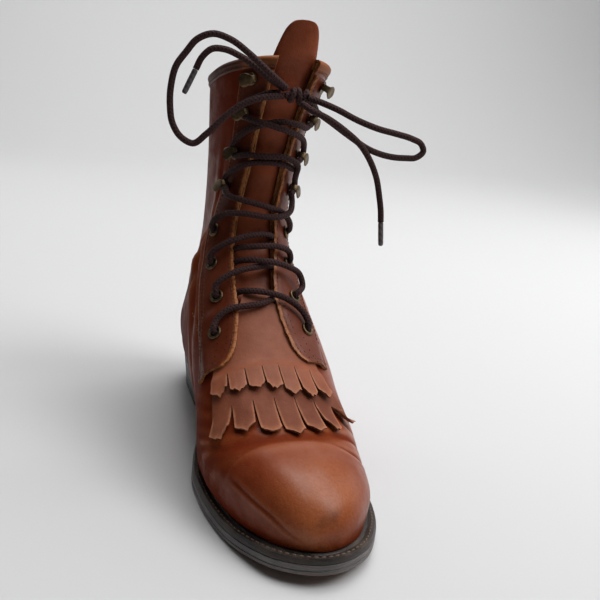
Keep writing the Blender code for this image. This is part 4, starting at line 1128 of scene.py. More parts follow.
def kiltie(name, node, panel, strips, layer, shade, seed):
    """A layer as a grid: the panel's rows right across, then rows that run on only inside each strip."""
    waver = np.random.default_rng(seed).uniform(-1, 1, (len(strips), STRIP_COLUMNS, 2))
    reverse = sorted(panel)
    root = panel[-1]
    count = len(strips)
    columns = count * STRIP_COLUMNS
    rows = PANEL_ROWS + STRIP_ROWS
    top = np.zeros((rows, columns, 3))
    low = np.zeros_like(top)
    tip = np.zeros((rows, columns))
    for i in range(rows):
        down = max(0, i - PANEL_ROWS + 1) / STRIP_ROWS
        panel_u = panel[0].u + (root.u - panel[0].u) * min(1.0, i / (PANEL_ROWS - 1))
        medial = float(smooth(reverse, "medial", panel_u))
        lateral = float(smooth(reverse, "lateral", panel_u))
        width = medial + lateral
        for k, strip in enumerate(strips):
            slit = SLIT * (0.8 + 0.5 * down) if down else 0.02
            left = -medial + width * k / count + (slit / 2 if k else 0)
            right = -medial + width * (k + 1) / count - (slit / 2 if k < count - 1 else 0)
            for c in range(STRIP_COLUMNS):
                f = 2 * c / (STRIP_COLUMNS - 1) - 1
                end_u = strip.tip_u + POINT_U[layer] * abs(f) ** 1.1 + TIP_WAVER * waver[k, c, 0]
                u = panel_u if not down else root.u + (end_u - root.u) * down
                rise = kiltie_lift(layer, u) + strip.curl * down**2 + 0.35 * down * f * strip.twist
                d = left + (right - left) * (f + 1) / 2 + strip.skew * down**1.3
                rise += 0.3 * down * (1 - f * f) + 0.25 * down * math.sin(2.3 * u + 1.7 * k + layer)
                rise += 0.15 * (1 - down) * math.sin(0.21 * d + 1.3 * u)
                thick = OVERLAY * (1 - 0.3 * down**3)
                j = k * STRIP_COLUMNS + c
                low[i, j] = beside(u, d, rise)
                top[i, j] = beside(u, d, rise + thick - 0.15 * min(1.0, 4 * down) * abs(f) ** 6)
                tip[i, j] = 0.7 * down**8 + 0.75 * min(1.0, 3 * down) * abs(f) ** 10
    points, faces, slots, spread = walled(
        top, low, top, lambda i, j: i < PANEL_ROWS - 1 or j % STRIP_COLUMNS != STRIP_COLUMNS - 1
    )
    worn = {"rub": spread(tip), "shade": np.full(len(points), shade)}
    made = piece(name, points, faces, [KILTIE_LEATHER, KILTIE_EDGE, KILTIE_EDGE], slots, worn, 50.0)
    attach(made, "root")
    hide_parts(node)


# The under layer gets painted shade (0.5) where the top layer hangs over it. The top layer gets none.
kiltie("kiltie_under_layer", "kiltie_lower", KILTIE_LOWER, STRIPS_LOWER, 0, 0.5, 5)
kiltie("kiltie_top_layer", "kiltie_upper", KILTIE_UPPER, STRIPS_UPPER, 1, 0.0, 9)

# Eyestays: facings of heavier calf over the throat's edges, raw and orange at the cut edge,
# ending in a rounded flap over the kiltie. Two rows of brown thread hold each to the quarter.
FACING = table(
    "share front_u front rear_u rear",
    (0, 11.05, 25, 11.45, 45), (0.02, 11.2, 20.5, 11.7, 44.5), (0.05, 11.55, 16.5, 12.1, 43),
    (0.1, 12.2, 13.6, 12.8, 40), (0.18, 13.3, 11.4, 13.8, 38), (0.28, 14.9, 12, 15.1, 37),
    (0.4, 17, 12.7, 17, 37.5), (0.55, 19.5, 12, 19.5, 38.5), (0.7, 22, 12, 22, 38),
    (0.85, 24.5, 12.5, 24.5, 36), (1, 26.55, 13, 26.55, 35),
)
RAISED_TO = 34.5
RAISED_FADE = 8.0
KILTIE_BESIDE = 2.0
KILTIE_END_U = (13.2, 13.8)
FACING_ROWS = 130
FACING_COLUMNS = 25
# Painted shade on the inner eyestay, none on the outer.
FACING_PAINTED_SHADE = {-1: 0.15, 1: 0.0}
FACING_FRAY = 0.28
FACING_SEED = {-1: 11, 1: 12}
FRAY_REACH = 0.8
FACING_STITCH_IN = 2.6
FACING_STITCH_PITCH = 2.6
FACING_ROW_GAP = 2.6


def facing_lift(u, distance):
    """Height of an eyestay's underside: over the kiltie near the flap, on the upper elsewhere."""
    under = 1 - float(soft_step(u, *KILTIE_END_U))
    half = float(smooth(sorted(KILTIE_UPPER), "lateral", u))
    raised = max(half + KILTIE_BESIDE, RAISED_TO)
    over = under * (1 - float(soft_step(distance, raised, raised + RAISED_FADE)))
    return LAYER_GAP + over * (kiltie_lift(1, u) + OVERLAY)


def facing_top(u, distance):
    return facing_lift(u, distance) + OVERLAY


def facing_place(share, f):
    edge = {key: float(smooth(FACING, key, share)) for key in FACING[0]._fields[1:]}
    u = edge["front_u"] + (edge["rear_u"] - edge["front_u"]) * f
    return u, edge["front"] + (edge["rear"] - edge["front"]) * f


FACING_LEATHER = leather(
    "eyestay_brown_calf", (0.16, 0.034, 0.013), (0.07, 0.012, 0.004), (0.38, 0.14, 0.047), 1.1, 0.38, 0.5,
    fleck=7.0,
)
BROWN_THREAD = thread("brown_thread", (0.17, 0.065, 0.034), 0.7)
PALE_THREAD = thread("pale_thread", (0.26, 0.12, 0.06), 0.75)
brown_spots, brown_turns = [], []
pale_spots, pale_turns = [], []


def stitch_line(line, out, pitch, spots, turns):
    """Adds stitches along a line that lies on the leather."""
    for p, a in zip(*along_line(line, pitch)):
        n = int(np.argmin(np.linalg.norm(line - p, axis=1)))
        spots.append(p)
        turns.append(turn_to(a, out[n]))


def sew(places, side, pitch, spots, turns, lift):
    """Adds a row of stitches along (u, distance) places."""
    line = np.array([beside(u, side * d, lift(u, d)) for u, d in places])
    out = np.array([skin(u, side * d / girth(u, side))[1][0] for u, d in places])
    stitch_line(line, out, pitch, spots, turns)


def eyestay(name, node, side):
    shares = np.concatenate([np.linspace(0, 0.06, 16)[:-1], np.linspace(0.06, 1.0, FACING_ROWS - 15)])
    fray = FACING_FRAY * np.random.default_rng(FACING_SEED[side]).uniform(-1, 1, FACING_ROWS)
    top = np.zeros((FACING_ROWS, FACING_COLUMNS, 3))
    low = np.zeros_like(top)
    rub = np.zeros((FACING_ROWS, FACING_COLUMNS))
    spots = []
    for fitting in EYELETS:
        d = fitting.medial if side < 0 else fitting.lateral
        spots.append(beside(fitting.u, side * d, facing_top(fitting.u, d)))
    phase = 0.6 if side < 0 else 2.0
    for i, share in enumerate(shares):
        width = facing_place(share, 1.0)[1] - facing_place(share, 0.0)[1]
        for j in range(FACING_COLUMNS):
            f = (1 - math.cos(math.pi * j / (FACING_COLUMNS - 1))) / 2
            u, d = facing_place(share, f)
            d += fray[i] * math.exp(-((f * width / FRAY_REACH) ** 2))
            inwards = min(f, 1 - f) * width
            lip = math.exp(-((inwards / 0.7) ** 2))
            stitched = math.exp(-(((inwards - FACING_STITCH_IN) / 0.7) ** 2))
            lifted = 0.5 * math.exp(-((f * width / 5.0) ** 2)) * math.sin(2.6 * u + phase) ** 2
            base = facing_lift(u, d)
            low[i, j] = beside(u, side * d, base - 0.35 + lifted)
            top[i, j] = beside(u, side * d, base + OVERLAY - 0.35 * lip - 0.22 * stitched + lifted)
            rub[i, j] = 0.5 * math.exp(-((inwards / 1.1) ** 2)) + 0.75 * math.exp(-((f * width / 1.5) ** 2))

    def filled(i, j):
        middle = (top[i, j] + top[i + 1, j + 1]) / 2
        return min(np.linalg.norm(middle - spot) for spot in spots) > HOLE_CLEAR

    points, faces, slots, spread = walled(top, low, top, filled)
    worn = {"rub": spread(rub), "shade": np.full(len(points), FACING_PAINTED_SHADE[side])}
    made = piece(name, points, faces, [FACING_LEATHER, EDGE_TAN, EDGE_TAN], slots, worn, 50.0)
    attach(made, "root")
    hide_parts(node)

    def stitch(places, sink):
        sew(places, side, FACING_STITCH_PITCH, brown_spots, brown_turns, lambda u, d: facing_top(u, d) - sink)

    front = [facing_place(share, 0.0) for share in np.linspace(0.03, 0.99, 60)]
    stitch([(u, d + FACING_STITCH_IN) for u, d in front], 0.05)
    rear = [facing_place(share, 1.0) for share in np.linspace(0.06, 0.99, 60)]
    for inset in (FACING_STITCH_IN, FACING_STITCH_IN + FACING_ROW_GAP):
        stitch([(u, d - inset) for u, d in rear], 0.05)
    hem = [facing_place(0.0, f) for f in np.linspace(0.12, 0.95, 20)]
    stitch([(u + 0.17, d) for u, d in hem], 0.02)


eyestay("eyestay_inner", "eyestay_medial", -1)
eyestay("eyestay_outer", "eyestay_lateral", 1)
flap_line = [(14.3, 44.0), (13.5, 40.2), (12.9, 37.0), (12.3, 38.2), (11.95, 40.3)]
sew(flap_line, -1, 2.4, pale_spots, pale_turns, lambda u, d: facing_top(u, d) + 0.02)

# Collar binding: a narrow strip of dark calf folded over the collar's raw edge and sewn through.
# It makes a soft bead along the top, and stops at the two corners of the throat.
BINDING_DEPTH = 5.0
binding_out = LAYER_GAP - 0.35
binding_far = -WALL - LAYER_GAP
BINDING_PROFILE = [
    (binding_out, -BINDING_DEPTH),
    (binding_out + 0.7, -BINDING_DEPTH + 0.15),
    (binding_out + 1.0, -BINDING_DEPTH + 1.2),
    (binding_out + 1.0, -2.6),
    (binding_out + 1.45, -1.6),
    (binding_out + 1.75, -0.4),
    (binding_out + 1.45, 0.8),
    (binding_out + 0.4, 1.7),
    (-WALL / 2, 2.0),
    (binding_far - 0.2, 1.6),
    (binding_far - 1.2, 0.6),
    (binding_far - 1.4, -1.0),
    (binding_far - 1.1, -BINDING_DEPTH),
    (binding_far, -BINDING_DEPTH),
    (binding_far, 0.5),
    (binding_out, 0.5),
]
BINDING_RUB_ENDS = (8.0, 13.0)


def capped(rings, size):
    """Quads from ring to ring, and one face over each end."""
    return ring_faces(rings, size) + [tuple(range(size)), tuple(range((rings - 1) * size, rings * size))]


def collar_vs(u):
    """v of the columns from the inner corner of the throat round the back to the outer corner."""
    columns = skin_columns(u)
    return np.concatenate([columns[UPPER_SIDE::-1], columns[: -UPPER_SIDE - 2 : -1][1:]])


collar_line, collar_out = skin(COLLAR_U, collar_vs(COLLAR_U))
collar_up = collar_line - skin(COLLAR_U - 1.0, collar_vs(COLLAR_U - 1.0))[0]
collar_up /= np.linalg.norm(collar_up, axis=1)[:, None]
binding_points = []
for at, out, upward in zip(collar_line, collar_out, collar_up):
    binding_points += [at + out * lift + upward * rise for lift, rise in BINDING_PROFILE]
binding_faces = capped(len(collar_line), len(BINDING_PROFILE))
BINDING_LEATHER = leather(
    "binding_dark_calf", (0.1, 0.03, 0.015), (0.04, 0.013, 0.008), (0.27, 0.09, 0.032), 1.0, 0.42, 0.3
)
from_start = np.arange(len(collar_line))
binding_worn = 1.2 * (1 - soft_step(np.minimum(from_start, from_start[::-1]), *BINDING_RUB_ENDS))
binding_rub = {"rub": np.repeat(binding_worn, len(BINDING_PROFILE))}
binding = piece("collar_roll", binding_points, binding_faces, [BINDING_LEATHER], None, binding_rub, 60.0)
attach(binding, "root")
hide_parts("collar_binding")
binding_line = collar_line + collar_out * (binding_out + 1.0) - collar_up * (BINDING_DEPTH - 1.3)
stitch_line(binding_line, collar_out, FACING_STITCH_PITCH, brown_spots, brown_turns)

PIN_ROWS = [(5.5, 0.012, 0.2), (11.0, 0.01, 0.1)]
PIN_PITCH = 4.2
PIN_SIZE = {"Length": 0.00085, "Thickness": 0.00075}
STITCH_SIZE = {"Length": 0.002, "Thickness": 0.0006}
pin_spots, pin_turns = [], []
for side in (-1, 1):
    for inset, first, last in PIN_ROWS:
        front = [facing_place(share, 0.0) for share in np.linspace(first, last, 24)]
        pin_row = [(u + 0.05, d + inset) for u, d in front]
        sew(pin_row, side, PIN_PITCH, pin_spots, pin_turns, lambda u, d: facing_top(u, d) - 0.1)
# Each pinhole is a dark dot on the flap: painted shade standing for the hole.
PINHOLE_PAINTED_SHADE = two_tone(
    "pinhole_dark", (900.0, 2.0), (0.012, 0.004, 0.002), (0.03, 0.009, 0.005),
    Roughness=0.9, Specular_IOR_Level=0.1,
)
pin_tree = sewing_tree("flap_pinholes", PINHOLE_PAINTED_SHADE)
pinholes = grown("flap_pinholes", pin_tree, placed(pin_spots), pin_turns, PIN_SIZE)
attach(pinholes, "root")
brown_sewing = sewing_tree("brown_stitches", BROWN_THREAD)
seams = grown("leather_stitches", brown_sewing, placed(brown_spots), brown_turns, STITCH_SIZE)
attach(seams, "root")
pale_sewing = sewing_tree("pale_stitches", PALE_THREAD)
flap_seam = grown("flap_stitches", pale_sewing, placed(pale_spots), pale_turns, STITCH_SIZE)
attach(flap_seam, "root")

# Eyelets and hooks: stamped brass, chemically darkened, clinched through eyestay, quarter and lining.
# The eyelets are plain rolled rings; each hook is one strip bent back over itself to a round plate.
FITTING_GAP = 0.1
EYELET_RISE = 0.45
EYELET_SIZES = {"Ring": 3.35 * MM, "Wire": 0.95 * MM, "Hole": 2.45 * MM, "Deep": 4.2 * MM}
HOOK_STRIP = table(
    "outward height half_width",
    (4.1, 0.45, 0.9), (3.4, 0.5, 2.6), (1.6, 0.5, 3.7), (-1.4, 0.5, 3.6), (-3.4, 0.7, 2.4), (-4.2, 1.7, 2),
    (-4.3, 3.4, 2), (-3.5, 5.2, 2.2), (-1.6, 5.9, 3.4), (1.2, 6.1, 4), (3.2, 6.4, 3.3), (4.5, 6.7, 1.2),
)
HOOK_THICK = 1.0
HOOK_GAP = 0.35
HOOK_RINGS = 46
HOOK_AROUND = 12
SIDES = {"medial": -1, "lateral": 1}


def reach(fitting, side):
    return -fitting.medial if side < 0 else fitting.lateral


def on_facing(u, distance, lift=0.0):
    return beside(u, distance, facing_top(u, abs(distance)) + lift)


def local_frame(u, distance, lift):
    """Origin, direction away from the throat, upward and out of the leather at a place on an eyestay."""
    side = -1 if distance < 0 else 1
    outward = side * (on_facing(u, distance + 2.0) - on_facing(u, distance - 2.0))
    outward /= np.linalg.norm(outward)
    upward = on_facing(u + 0.2, distance) - on_facing(u - 0.2, distance)
    upward -= outward * np.dot(upward, outward)
    upward /= np.linalg.norm(upward)
    normal = side * np.cross(outward, upward)
    return on_facing(u, distance) + normal * lift, outward, upward, normal


brass_finish = Finish("antique_brass", Metallic=1.0)
brass_at = brass_finish.where()
brass_tarnish = brass_finish.cloud(brass_at, 260.0, 5.0, 0.65)
brass_dull = (2.2 * (brass_tarnish - 0.3)).held()
brass_fine = brass_finish.cloud(brass_at, 1400.0, 3.0)
brass_finish.feed(
    Base_Color=brass_finish.mix(brass_dull, (0.2, 0.135, 0.07), (0.035, 0.027, 0.02)),
    Roughness=0.3 + 0.28 * brass_tarnish,
    Normal=brass_finish.relief(brass_fine + brass_tarnish, 0.0003, 0.35),
)
BRASS = brass_finish.made
# The barrel and its capped ends are near black: painted shade inside the eyelet's hole, closing it with a
# dark disc.
BARREL_HOLE_SHADE = two_tone(
    "eyelet_barrel_dark", (600.0, 3.0), (0.02, 0.015, 0.01), (0.05, 0.035, 0.02), (0.5, 0.3), Metallic=0.6
)


def eyelet_tree():
    """A rolled ring with its barrel, on every point."""
    spread = Spread("eyelet_ring", Ring=0.003, Wire=0.003, Hole=0.003, Deep=0.003)
    given = spread.start.outputs
    path = spread.node("GeometryNodeCurvePrimitiveCircle", {"Resolution": 32, "Radius": given["Ring"]})
    wire = spread.node("GeometryNodeCurvePrimitiveCircle", {"Resolution": 12, "Radius": given["Wire"]})
    ring = spread.node("GeometryNodeCurveToMesh", {"Curve": path, "Profile Curve": wire})
    ring = spread.node("GeometryNodeTransform", {"Geometry": ring, "Scale": (1.0, 1.0, 0.85)})
    ring = spread.node("GeometryNodeSetMaterial", {"Geometry": ring, "Material": BRASS})
    sizes = {"Vertices": 24, "Radius": given["Hole"], "Depth": given["Deep"]}
    barrel = spread.node("GeometryNodeMeshCylinder", sizes, "Mesh")
    sunk = spread.node("ShaderNodeMath", {0: given["Deep"], 1: -0.5}, operation="MULTIPLY")
    down = spread.node("ShaderNodeCombineXYZ", {"Z": sunk})
    barrel = spread.node("GeometryNodeTransform", {"Geometry": barrel, "Translation": down})
    barrel = spread.node("GeometryNodeSetMaterial", {"Geometry": barrel, "Material": BARREL_HOLE_SHADE})
    both = spread.node("GeometryNodeJoinGeometry", {0: ring})
    spread.tree.links.new(barrel, both.node.inputs[0])
    return spread.over_points(both)


def set_out(kind, fittings, lift, ahead):
    """Places, turns and node names of a kind of fitting; ahead is the number of the frame's leading axis."""
    spots, turns, names = [], [], []
    for side_name, side in SIDES.items():
        for number, fitting in enumerate(fittings, 1):
            axes = local_frame(fitting.u, reach(fitting, side), lift)
            spots.append(axes[0])
            turns.append(turn_to(axes[ahead], axes[3]))
            names.append(f"{kind}_{side_name}_{number}")
    return placed(spots), turns, names


eyelet_spots, eyelet_turns, eyelet_nodes = set_out("eyelet", EYELETS, FITTING_GAP + EYELET_RISE, 2)
eyelets = grown("brass_eyelets", eyelet_tree(), eyelet_spots, eyelet_turns, EYELET_SIZES)
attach(eyelets, "root")
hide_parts(*eyelet_nodes)


def hook_form():
    """One hook's mesh at the origin: X out of the throat, Y up the shaft, Z out of the leather."""
    rows = np.array(HOOK_STRIP)
    along = lengths(rows[:, :2])
    at = np.linspace(0, along[-1], HOOK_RINGS)
    flat = np.stack([cubic(along, rows[:, k], at) for k in range(3)], axis=1)
    ahead = np.gradient(flat[:, :2], axis=0)
    ahead /= np.linalg.norm(ahead, axis=1)[:, None]
    points = []
    for (a, h, half), (da, dh) in zip(flat, ahead):
        for t in np.arange(HOOK_AROUND) * 2 * math.pi / HOOK_AROUND:
            wide = half * np.sign(math.cos(t)) * abs(math.cos(t)) ** 0.5
            thick = HOOK_THICK / 2 * np.sign(math.sin(t)) * abs(math.sin(t)) ** 0.5
            points.append((a - dh * thick, wide, h + da * thick))
    return mesh_of("hook_form", np.array(points) * MM, capped(HOOK_RINGS, HOOK_AROUND))


def hook_tree(source):
    """The hook's form on every point."""
    spread = Spread("hook_row", Size=1.0)
    form = spread.node("GeometryNodeObjectInfo", {"Object": source}, "Geometry")
    return spread.over_points(form, BRASS, spread.start.outputs["Size"])


hook_source = shown("hook_form", hook_form())
hook_spots, hook_turns, hook_nodes = set_out("hook", HOOKS, HOOK_GAP, 1)
hooks = grown("brass_hooks", hook_tree(hook_source), hook_spots, hook_turns, {"Size": 1.0})
bpy.data.objects.remove(hook_source)
hooks.data.set_sharp_from_angle(angle=math.radians(50))
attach(hooks, "root")
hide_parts(*hook_nodes)

# Lace: one round braided cotton cord, waxed dark brown, run crosswise up the eyelets and hooks.
# It is tied over the tongue between the two top pairs of hooks in a loose bow with two long ends.
LACE_RADIUS = 1.9
LACE_SIDES = 14
LACE_STEP = 1.1
AT_HOOK = 3.6
KNOT_U = 25.55
KNOT_DISTANCE = 1.0
KNOT_LIFT = 7.6
LEVELS = EYELETS + HOOKS[:3]
UNDER_EDGE = [(-1.2, 0.6), (1.6, -2.2), (4, -3.2)]
LACE_PLACES = {
    (0, -1): [(12.85, -23, 6.4), (13.1, -17, 6.8), (13.15, -6, 5.6), (13.3, 3, 4.6), (13.55, 8, 3.4)],
    (0, 1): [(12.95, 27, 7.2), (13.45, 18, 7.6), (13.75, 6, 6.6), (13.9, -3, 5), (14.0, -7.5, 3)],
    (1, -1): [(14.45, -21.5, 6.3), (14.75, -16, 7), (15.05, -8, 6.6), (15.3, 1, 4.8), (15.5, 7.5, 2.8)],
    (1, 1): [(14.6, 29.5, 6.6), (15.15, 26.5, 8.4), (15.45, 16.5, 8.6), (15.6, 3, 7.8), (15.75, -6, 4.6)],
    (2, -1): [(16.5, -24, 6.2), (16.9, -17, 6.8), (17.3, -7, 6.2), (17.55, 3, 4)],
    (2, 1): [(16.55, 21, 6.2), (16.75, 12.5, 7), (16.65, 1, 6.2), (16.65, -6.5, 3.6)],
    (3, -1): [
        (19.1, -25, 6.4), (19.25, -16.5, 6.8), (19.05, -7, 7), (18.85, 3, 7.8), (19.1, 10.5, 9.2),
        (19.9, 16.5, 9.4), (20.8, 19.5, 7.6),
    ],
    (3, 1): [(19.05, 22.5, 6.4), (19.55, 15, 6.2), (19.65, 4, 6.2), (20.15, -10, 6.4), (20.8, -18.5, 6.2)],
    (4, -1): [(22.4, -17.5, 6.4), (22.5, -11, 6.2), (22.55, 0, 6.4), (22.6, 9, 6), (22.75, 16, 5.8)],
    (4, 1): [(22.5, 17, 7.6), (22.85, 13.5, 9.4), (22.95, 6.5, 8.8), (22.85, -5, 7.2), (23.05, -14, 6.4)],
    (5, -1): [(24.15, -16.5, 6), (24.3, -7.5, 5.8), (24.4, 0, 6.2), (24.45, 10, 6.6), (24.55, 16.5, 6)],
    (5, 1): [(24.0, 15, 6.6), (24.05, 4.5, 8), (24.25, -5, 9.6), (24.4, -10, 9.4), (24.6, -17, 7)],
    (6, -1): [(25.4, -17, 6.6), (25.55, -11, 7), (25.58, -6, 7.4)],
    (6, 1): [(25.35, 16, 6.6), (25.45, 11, 7), (25.5, 7.5, 7.4)],
}

lace_finish = Finish("lace_waxed_braid", Specular_IOR_Level=0.2)
lace_round = lace_finish.mark("round", "Vector")
lace_cos, lace_sin, lace_along = [
    lace_finish.node("ShaderNodeSeparateXYZ", sockets={0: lace_round}, out=axis) for axis in ("X", "Y", "Z")
]
lace_angle = lace_sin.math("ARCTAN2", lace_cos)
braid_one = (lace_angle * 4.0 + lace_along * 2.9).math("SINE")
braid_two = (lace_angle * 4.0 - lace_along * 2.9).math("SINE")
braid = braid_one.math("MAXIMUM", braid_two) * 0.5 + 0.5
lace_at = lace_finish.where()
lace_fuzz = lace_finish.cloud(lace_at, 2600.0, 3.0, 0.7)
lace_tone = lace_finish.cloud(lace_at, 70.0, 3.0)
# The braid's grooves are painted darker as painted shade, clouded by the fuzz.
lace_groove_shade = (braid * 0.6 + (lace_fuzz - 0.4) * 0.8).held()
lace_base = lace_finish.mix(lace_groove_shade, (0.017, 0.0065, 0.0065), (0.054, 0.022, 0.021))
lace_finish.feed(
    Base_Color=lace_finish.mix((lace_tone - 0.4) * 0.6, lace_base, (0.072, 0.034, 0.031)),
    Roughness=0.62 + 0.25 * lace_fuzz,
    Normal=lace_finish.relief(braid + lace_fuzz * 0.6, 0.00045, 0.8),
)
LACE = lace_finish.made


def smooth_route(points, spacing):
    """Evenly spaced points on a smooth curve through a route's own points."""
    points = np.array(points, float)
    along = lengths(points)
    dense = np.linspace(0, along[-1], 30 * len(points))
    slopes = np.gradient(points, along, axis=0)
    curve = np.stack([hermite(along, points[:, k], slopes[:, k], dense) for k in range(3)], axis=1)
    length = lengths(curve)
    return on_line(curve, length, np.linspace(0, length[-1], max(4, int(length[-1] / spacing))))


def tube(points, radius, sides):
    """Points, faces and braid marks of a round cord along a line, with closed ends."""
    points = np.asarray(points, float)
    ahead = np.gradient(points, axis=0)
    ahead /= np.linalg.norm(ahead, axis=1)[:, None]
    side = np.cross(ahead[0], (0.31, 0.2, 0.93))
    made, rounds = [], []
    radius = np.broadcast_to(np.asarray(radius, float), (len(points),))
    for at, way, r, a in zip(points, ahead, radius, lengths(points)):
        side = side - way * np.dot(side, way)
        side /= np.linalg.norm(side)
        other = np.cross(way, side)
        for t in np.arange(sides) * 2 * math.pi / sides:
            made.append(at + r * (math.cos(t) * side + math.sin(t) * other))
            rounds.append((math.cos(t), math.sin(t), a))
    return made, capped(len(points), sides), rounds


def cords(name, lines, radius=LACE_RADIUS):
    """One piece of several cord lengths."""
    points, faces, rounds = [], [], []
    for line in lines:
        p, f, r = tube(line, radius, LACE_SIDES)
        faces += [tuple(n + len(points) for n in face) for face in f]
        points += p
        rounds += r
    return piece(name, points, faces, [LACE], None, {"round": np.array(rounds)}, 70.0)


def at_eyelet(fitting, side):
    """Points of a strand that comes up through an eyelet."""
    at, outward, upward, normal = local_frame(fitting.u, reach(fitting, side), 0.0)
    below = at - normal * 3.6 + outward * 0.4
    return [below, at - normal * 0.6, at + normal * 1.8 - outward * 0.3 + upward * 0.5]


def at_hook(fitting, side, above):
    """Points of a strand from its turn round a hook's neck to where it leaves for the throat."""
    at, outward, upward, normal = local_frame(fitting.u, reach(fitting, side), AT_HOOK)
    way = upward if above else -upward
    return [at - outward * 1.5, at - outward * 2.2 + way * 2.8, at - outward * 4.4 + way * 4.1]


def strand(level, side, places):
    """From one fitting across the throat, under the far edge or to the next hook, or to the knot."""
    here = LEVELS[level]
    route = at_hook(here, side, True) if level >= len(EYELETS) else at_eyelet(here, side)
    route += [beside(*place) for place in places]
    if level < len(EYELETS) - 1:
        u = places[-1][0] + 0.06
        gap = half_gap(u)
        for past, lift in UNDER_EDGE:
            route.append(beside(u, -side * (gap + past), lift))
    elif level < len(LEVELS) - 1:
        route += at_hook(LEVELS[level + 1], -side, False)[::-1]
    return smooth_route(route, LACE_STEP)


for level_number in range(len(LEVELS)):
    both = [strand(level_number, side, LACE_PLACES[level_number, side]) for side in (-1, 1)]
    crossing_piece = cords(f"lace_cross_{level_number + 1}", both)
    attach(crossing_piece, "root")
    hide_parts(f"lace_crossing_{level_number + 1}")

LOOP_LATERAL = [
    (17, 153, 220), (25, 152, 218), (35, 151, 215), (48, 150, 210), (62, 148, 206),
    (74, 147, 204), (84, 146, 202), (91, 146, 199), (93, 146, 195), (89, 146, 191),
    (82, 147, 190), (73, 148, 190), (59, 149, 193), (45, 150, 200), (31, 151, 208),
    (19, 152, 214.5),
]
END_LATERAL = [
    (13.2, 152, 216.4), (18, 147.2, 213.4), (27, 145, 210), (40, 144, 203), (50, 144, 196),
    (58, 145, 187), (64, 146, 177), (68, 147, 166), (71, 148, 156), (72, 148, 149.5),
]
LOOP_MEDIAL = [
    (4.4, 155.8, 223.9), (-10, 151, 233), (-21, 152, 241), (-31, 155, 247), (-41, 158, 249),
    (-49, 161, 245), (-54, 163, 238), (-59, 164, 230), (-61, 165, 220), (-61, 165, 208),
    (-59, 164, 198), (-54, 163, 191), (-47, 162, 188), (-40, 160, 194), (-31, 158, 204),
    (-22, 156, 212), (-12, 154, 217), (2.8, 156, 219.5),
]
END_MEDIAL = [
    (4.3, 160.3, 223.3), (-7, 158.5, 229), (-15, 160, 234.5), (-24, 162, 239), (-32, 164, 241.5),
    (-39, 166, 241), (-44, 168, 236), (-47, 169, 229),
]
TIP_LENGTH = 15.0
TIP_RADIUS = 1.7
TIP_FORM = [
    (0, 0.8), (0.04, 0.97), (0.1, 1.0), (0.3, 0.98), (0.5, 1.0), (0.7, 0.98), (0.9, 0.96),
    (0.97, 0.85), (1.0, 0.55),
]

tip_finish = Finish("lace_tip_film", Specular_IOR_Level=0.5)
tip_rings = tip_finish.bands(tip_finish.where(), 180.0)
tip_finish.feed(
    Base_Color=tip_finish.mix(tip_rings, (0.05, 0.042, 0.042), (0.11, 0.1, 0.1)),
    Roughness=0.35 + 0.2 * tip_rings,
)
LACE_TIP = tip_finish.made

for side_name, route in (("medial", LOOP_MEDIAL), ("lateral", LOOP_LATERAL)):
    line = smooth_route(route, LACE_STEP)
    loop = cords(f"bow_loop_{side_name}", [line])
    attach(loop, "root")
    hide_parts(f"lace_loop_{side_name}")
    placed(line[:1])[0]
    float(lengths(line)[-1]) * MM
    placed(line)
for side_name, route in (("medial", END_MEDIAL), ("lateral", END_LATERAL)):
    line = smooth_route(route, LACE_STEP)
    ahead = line[-1] - line[-2]
    ahead /= np.linalg.norm(ahead)
    tip_line = [line[-1] + ahead * (GAP + TIP_LENGTH * along) for along, _ in TIP_FORM]
    tip_points, tip_faces, _ = tube(tip_line, [TIP_RADIUS * size for _, size in TIP_FORM], LACE_SIDES)
    tip = piece(f"bow_tip_{side_name}", tip_points, tip_faces, [LACE_TIP])
    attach(tip, "root")
    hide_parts(f"lace_tip_{side_name}")
    end = cords(f"bow_end_{side_name}", [line])
    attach(end, "root")
    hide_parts(f"lace_end_{side_name}")
    placed(line[:1])[0]
    float(lengths(line)[-1]) * MM
    placed(line)

KNOT_TURNS = [(-2.6, 0.25, 3.0, 4.0), (1.6, -0.3, 3.2, 4.2), (4.6, 0.5, 2.4, 3.4)]
KNOT_CORE = [(-6.5, 0.4, -0.6), (-3.0, 0.2, 0.6), (0.5, 0.0, 0.2), (4.0, 0.2, -0.6), (6.6, 0.5, 0.3)]
knot_at, knot_out, knot_up, knot_normal = local_frame(KNOT_U, KNOT_DISTANCE, KNOT_LIFT)
knot_lines = []
for shift, tilt, wide, high in KNOT_TURNS:
    ring = []
    for t in np.linspace(-0.35 * math.pi, 1.45 * math.pi, 18):
        ring.append(
            knot_at
            + knot_out * (shift + tilt * 3.0 * math.sin(t) + 0.9 * t / math.pi)
            + knot_normal * wide * math.cos(t) * 0.75
            + knot_up * high * math.sin(t) * 0.8
        )
    knot_lines.append(smooth_route(ring, LACE_STEP))
core = [knot_at + knot_out * x + knot_normal * n + knot_up * z for x, n, z in KNOT_CORE]
knot_lines.append(smooth_route(core, LACE_STEP))
knot = cords("bow_knot", knot_lines)
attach(knot, "root")
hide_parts("lace_knot")

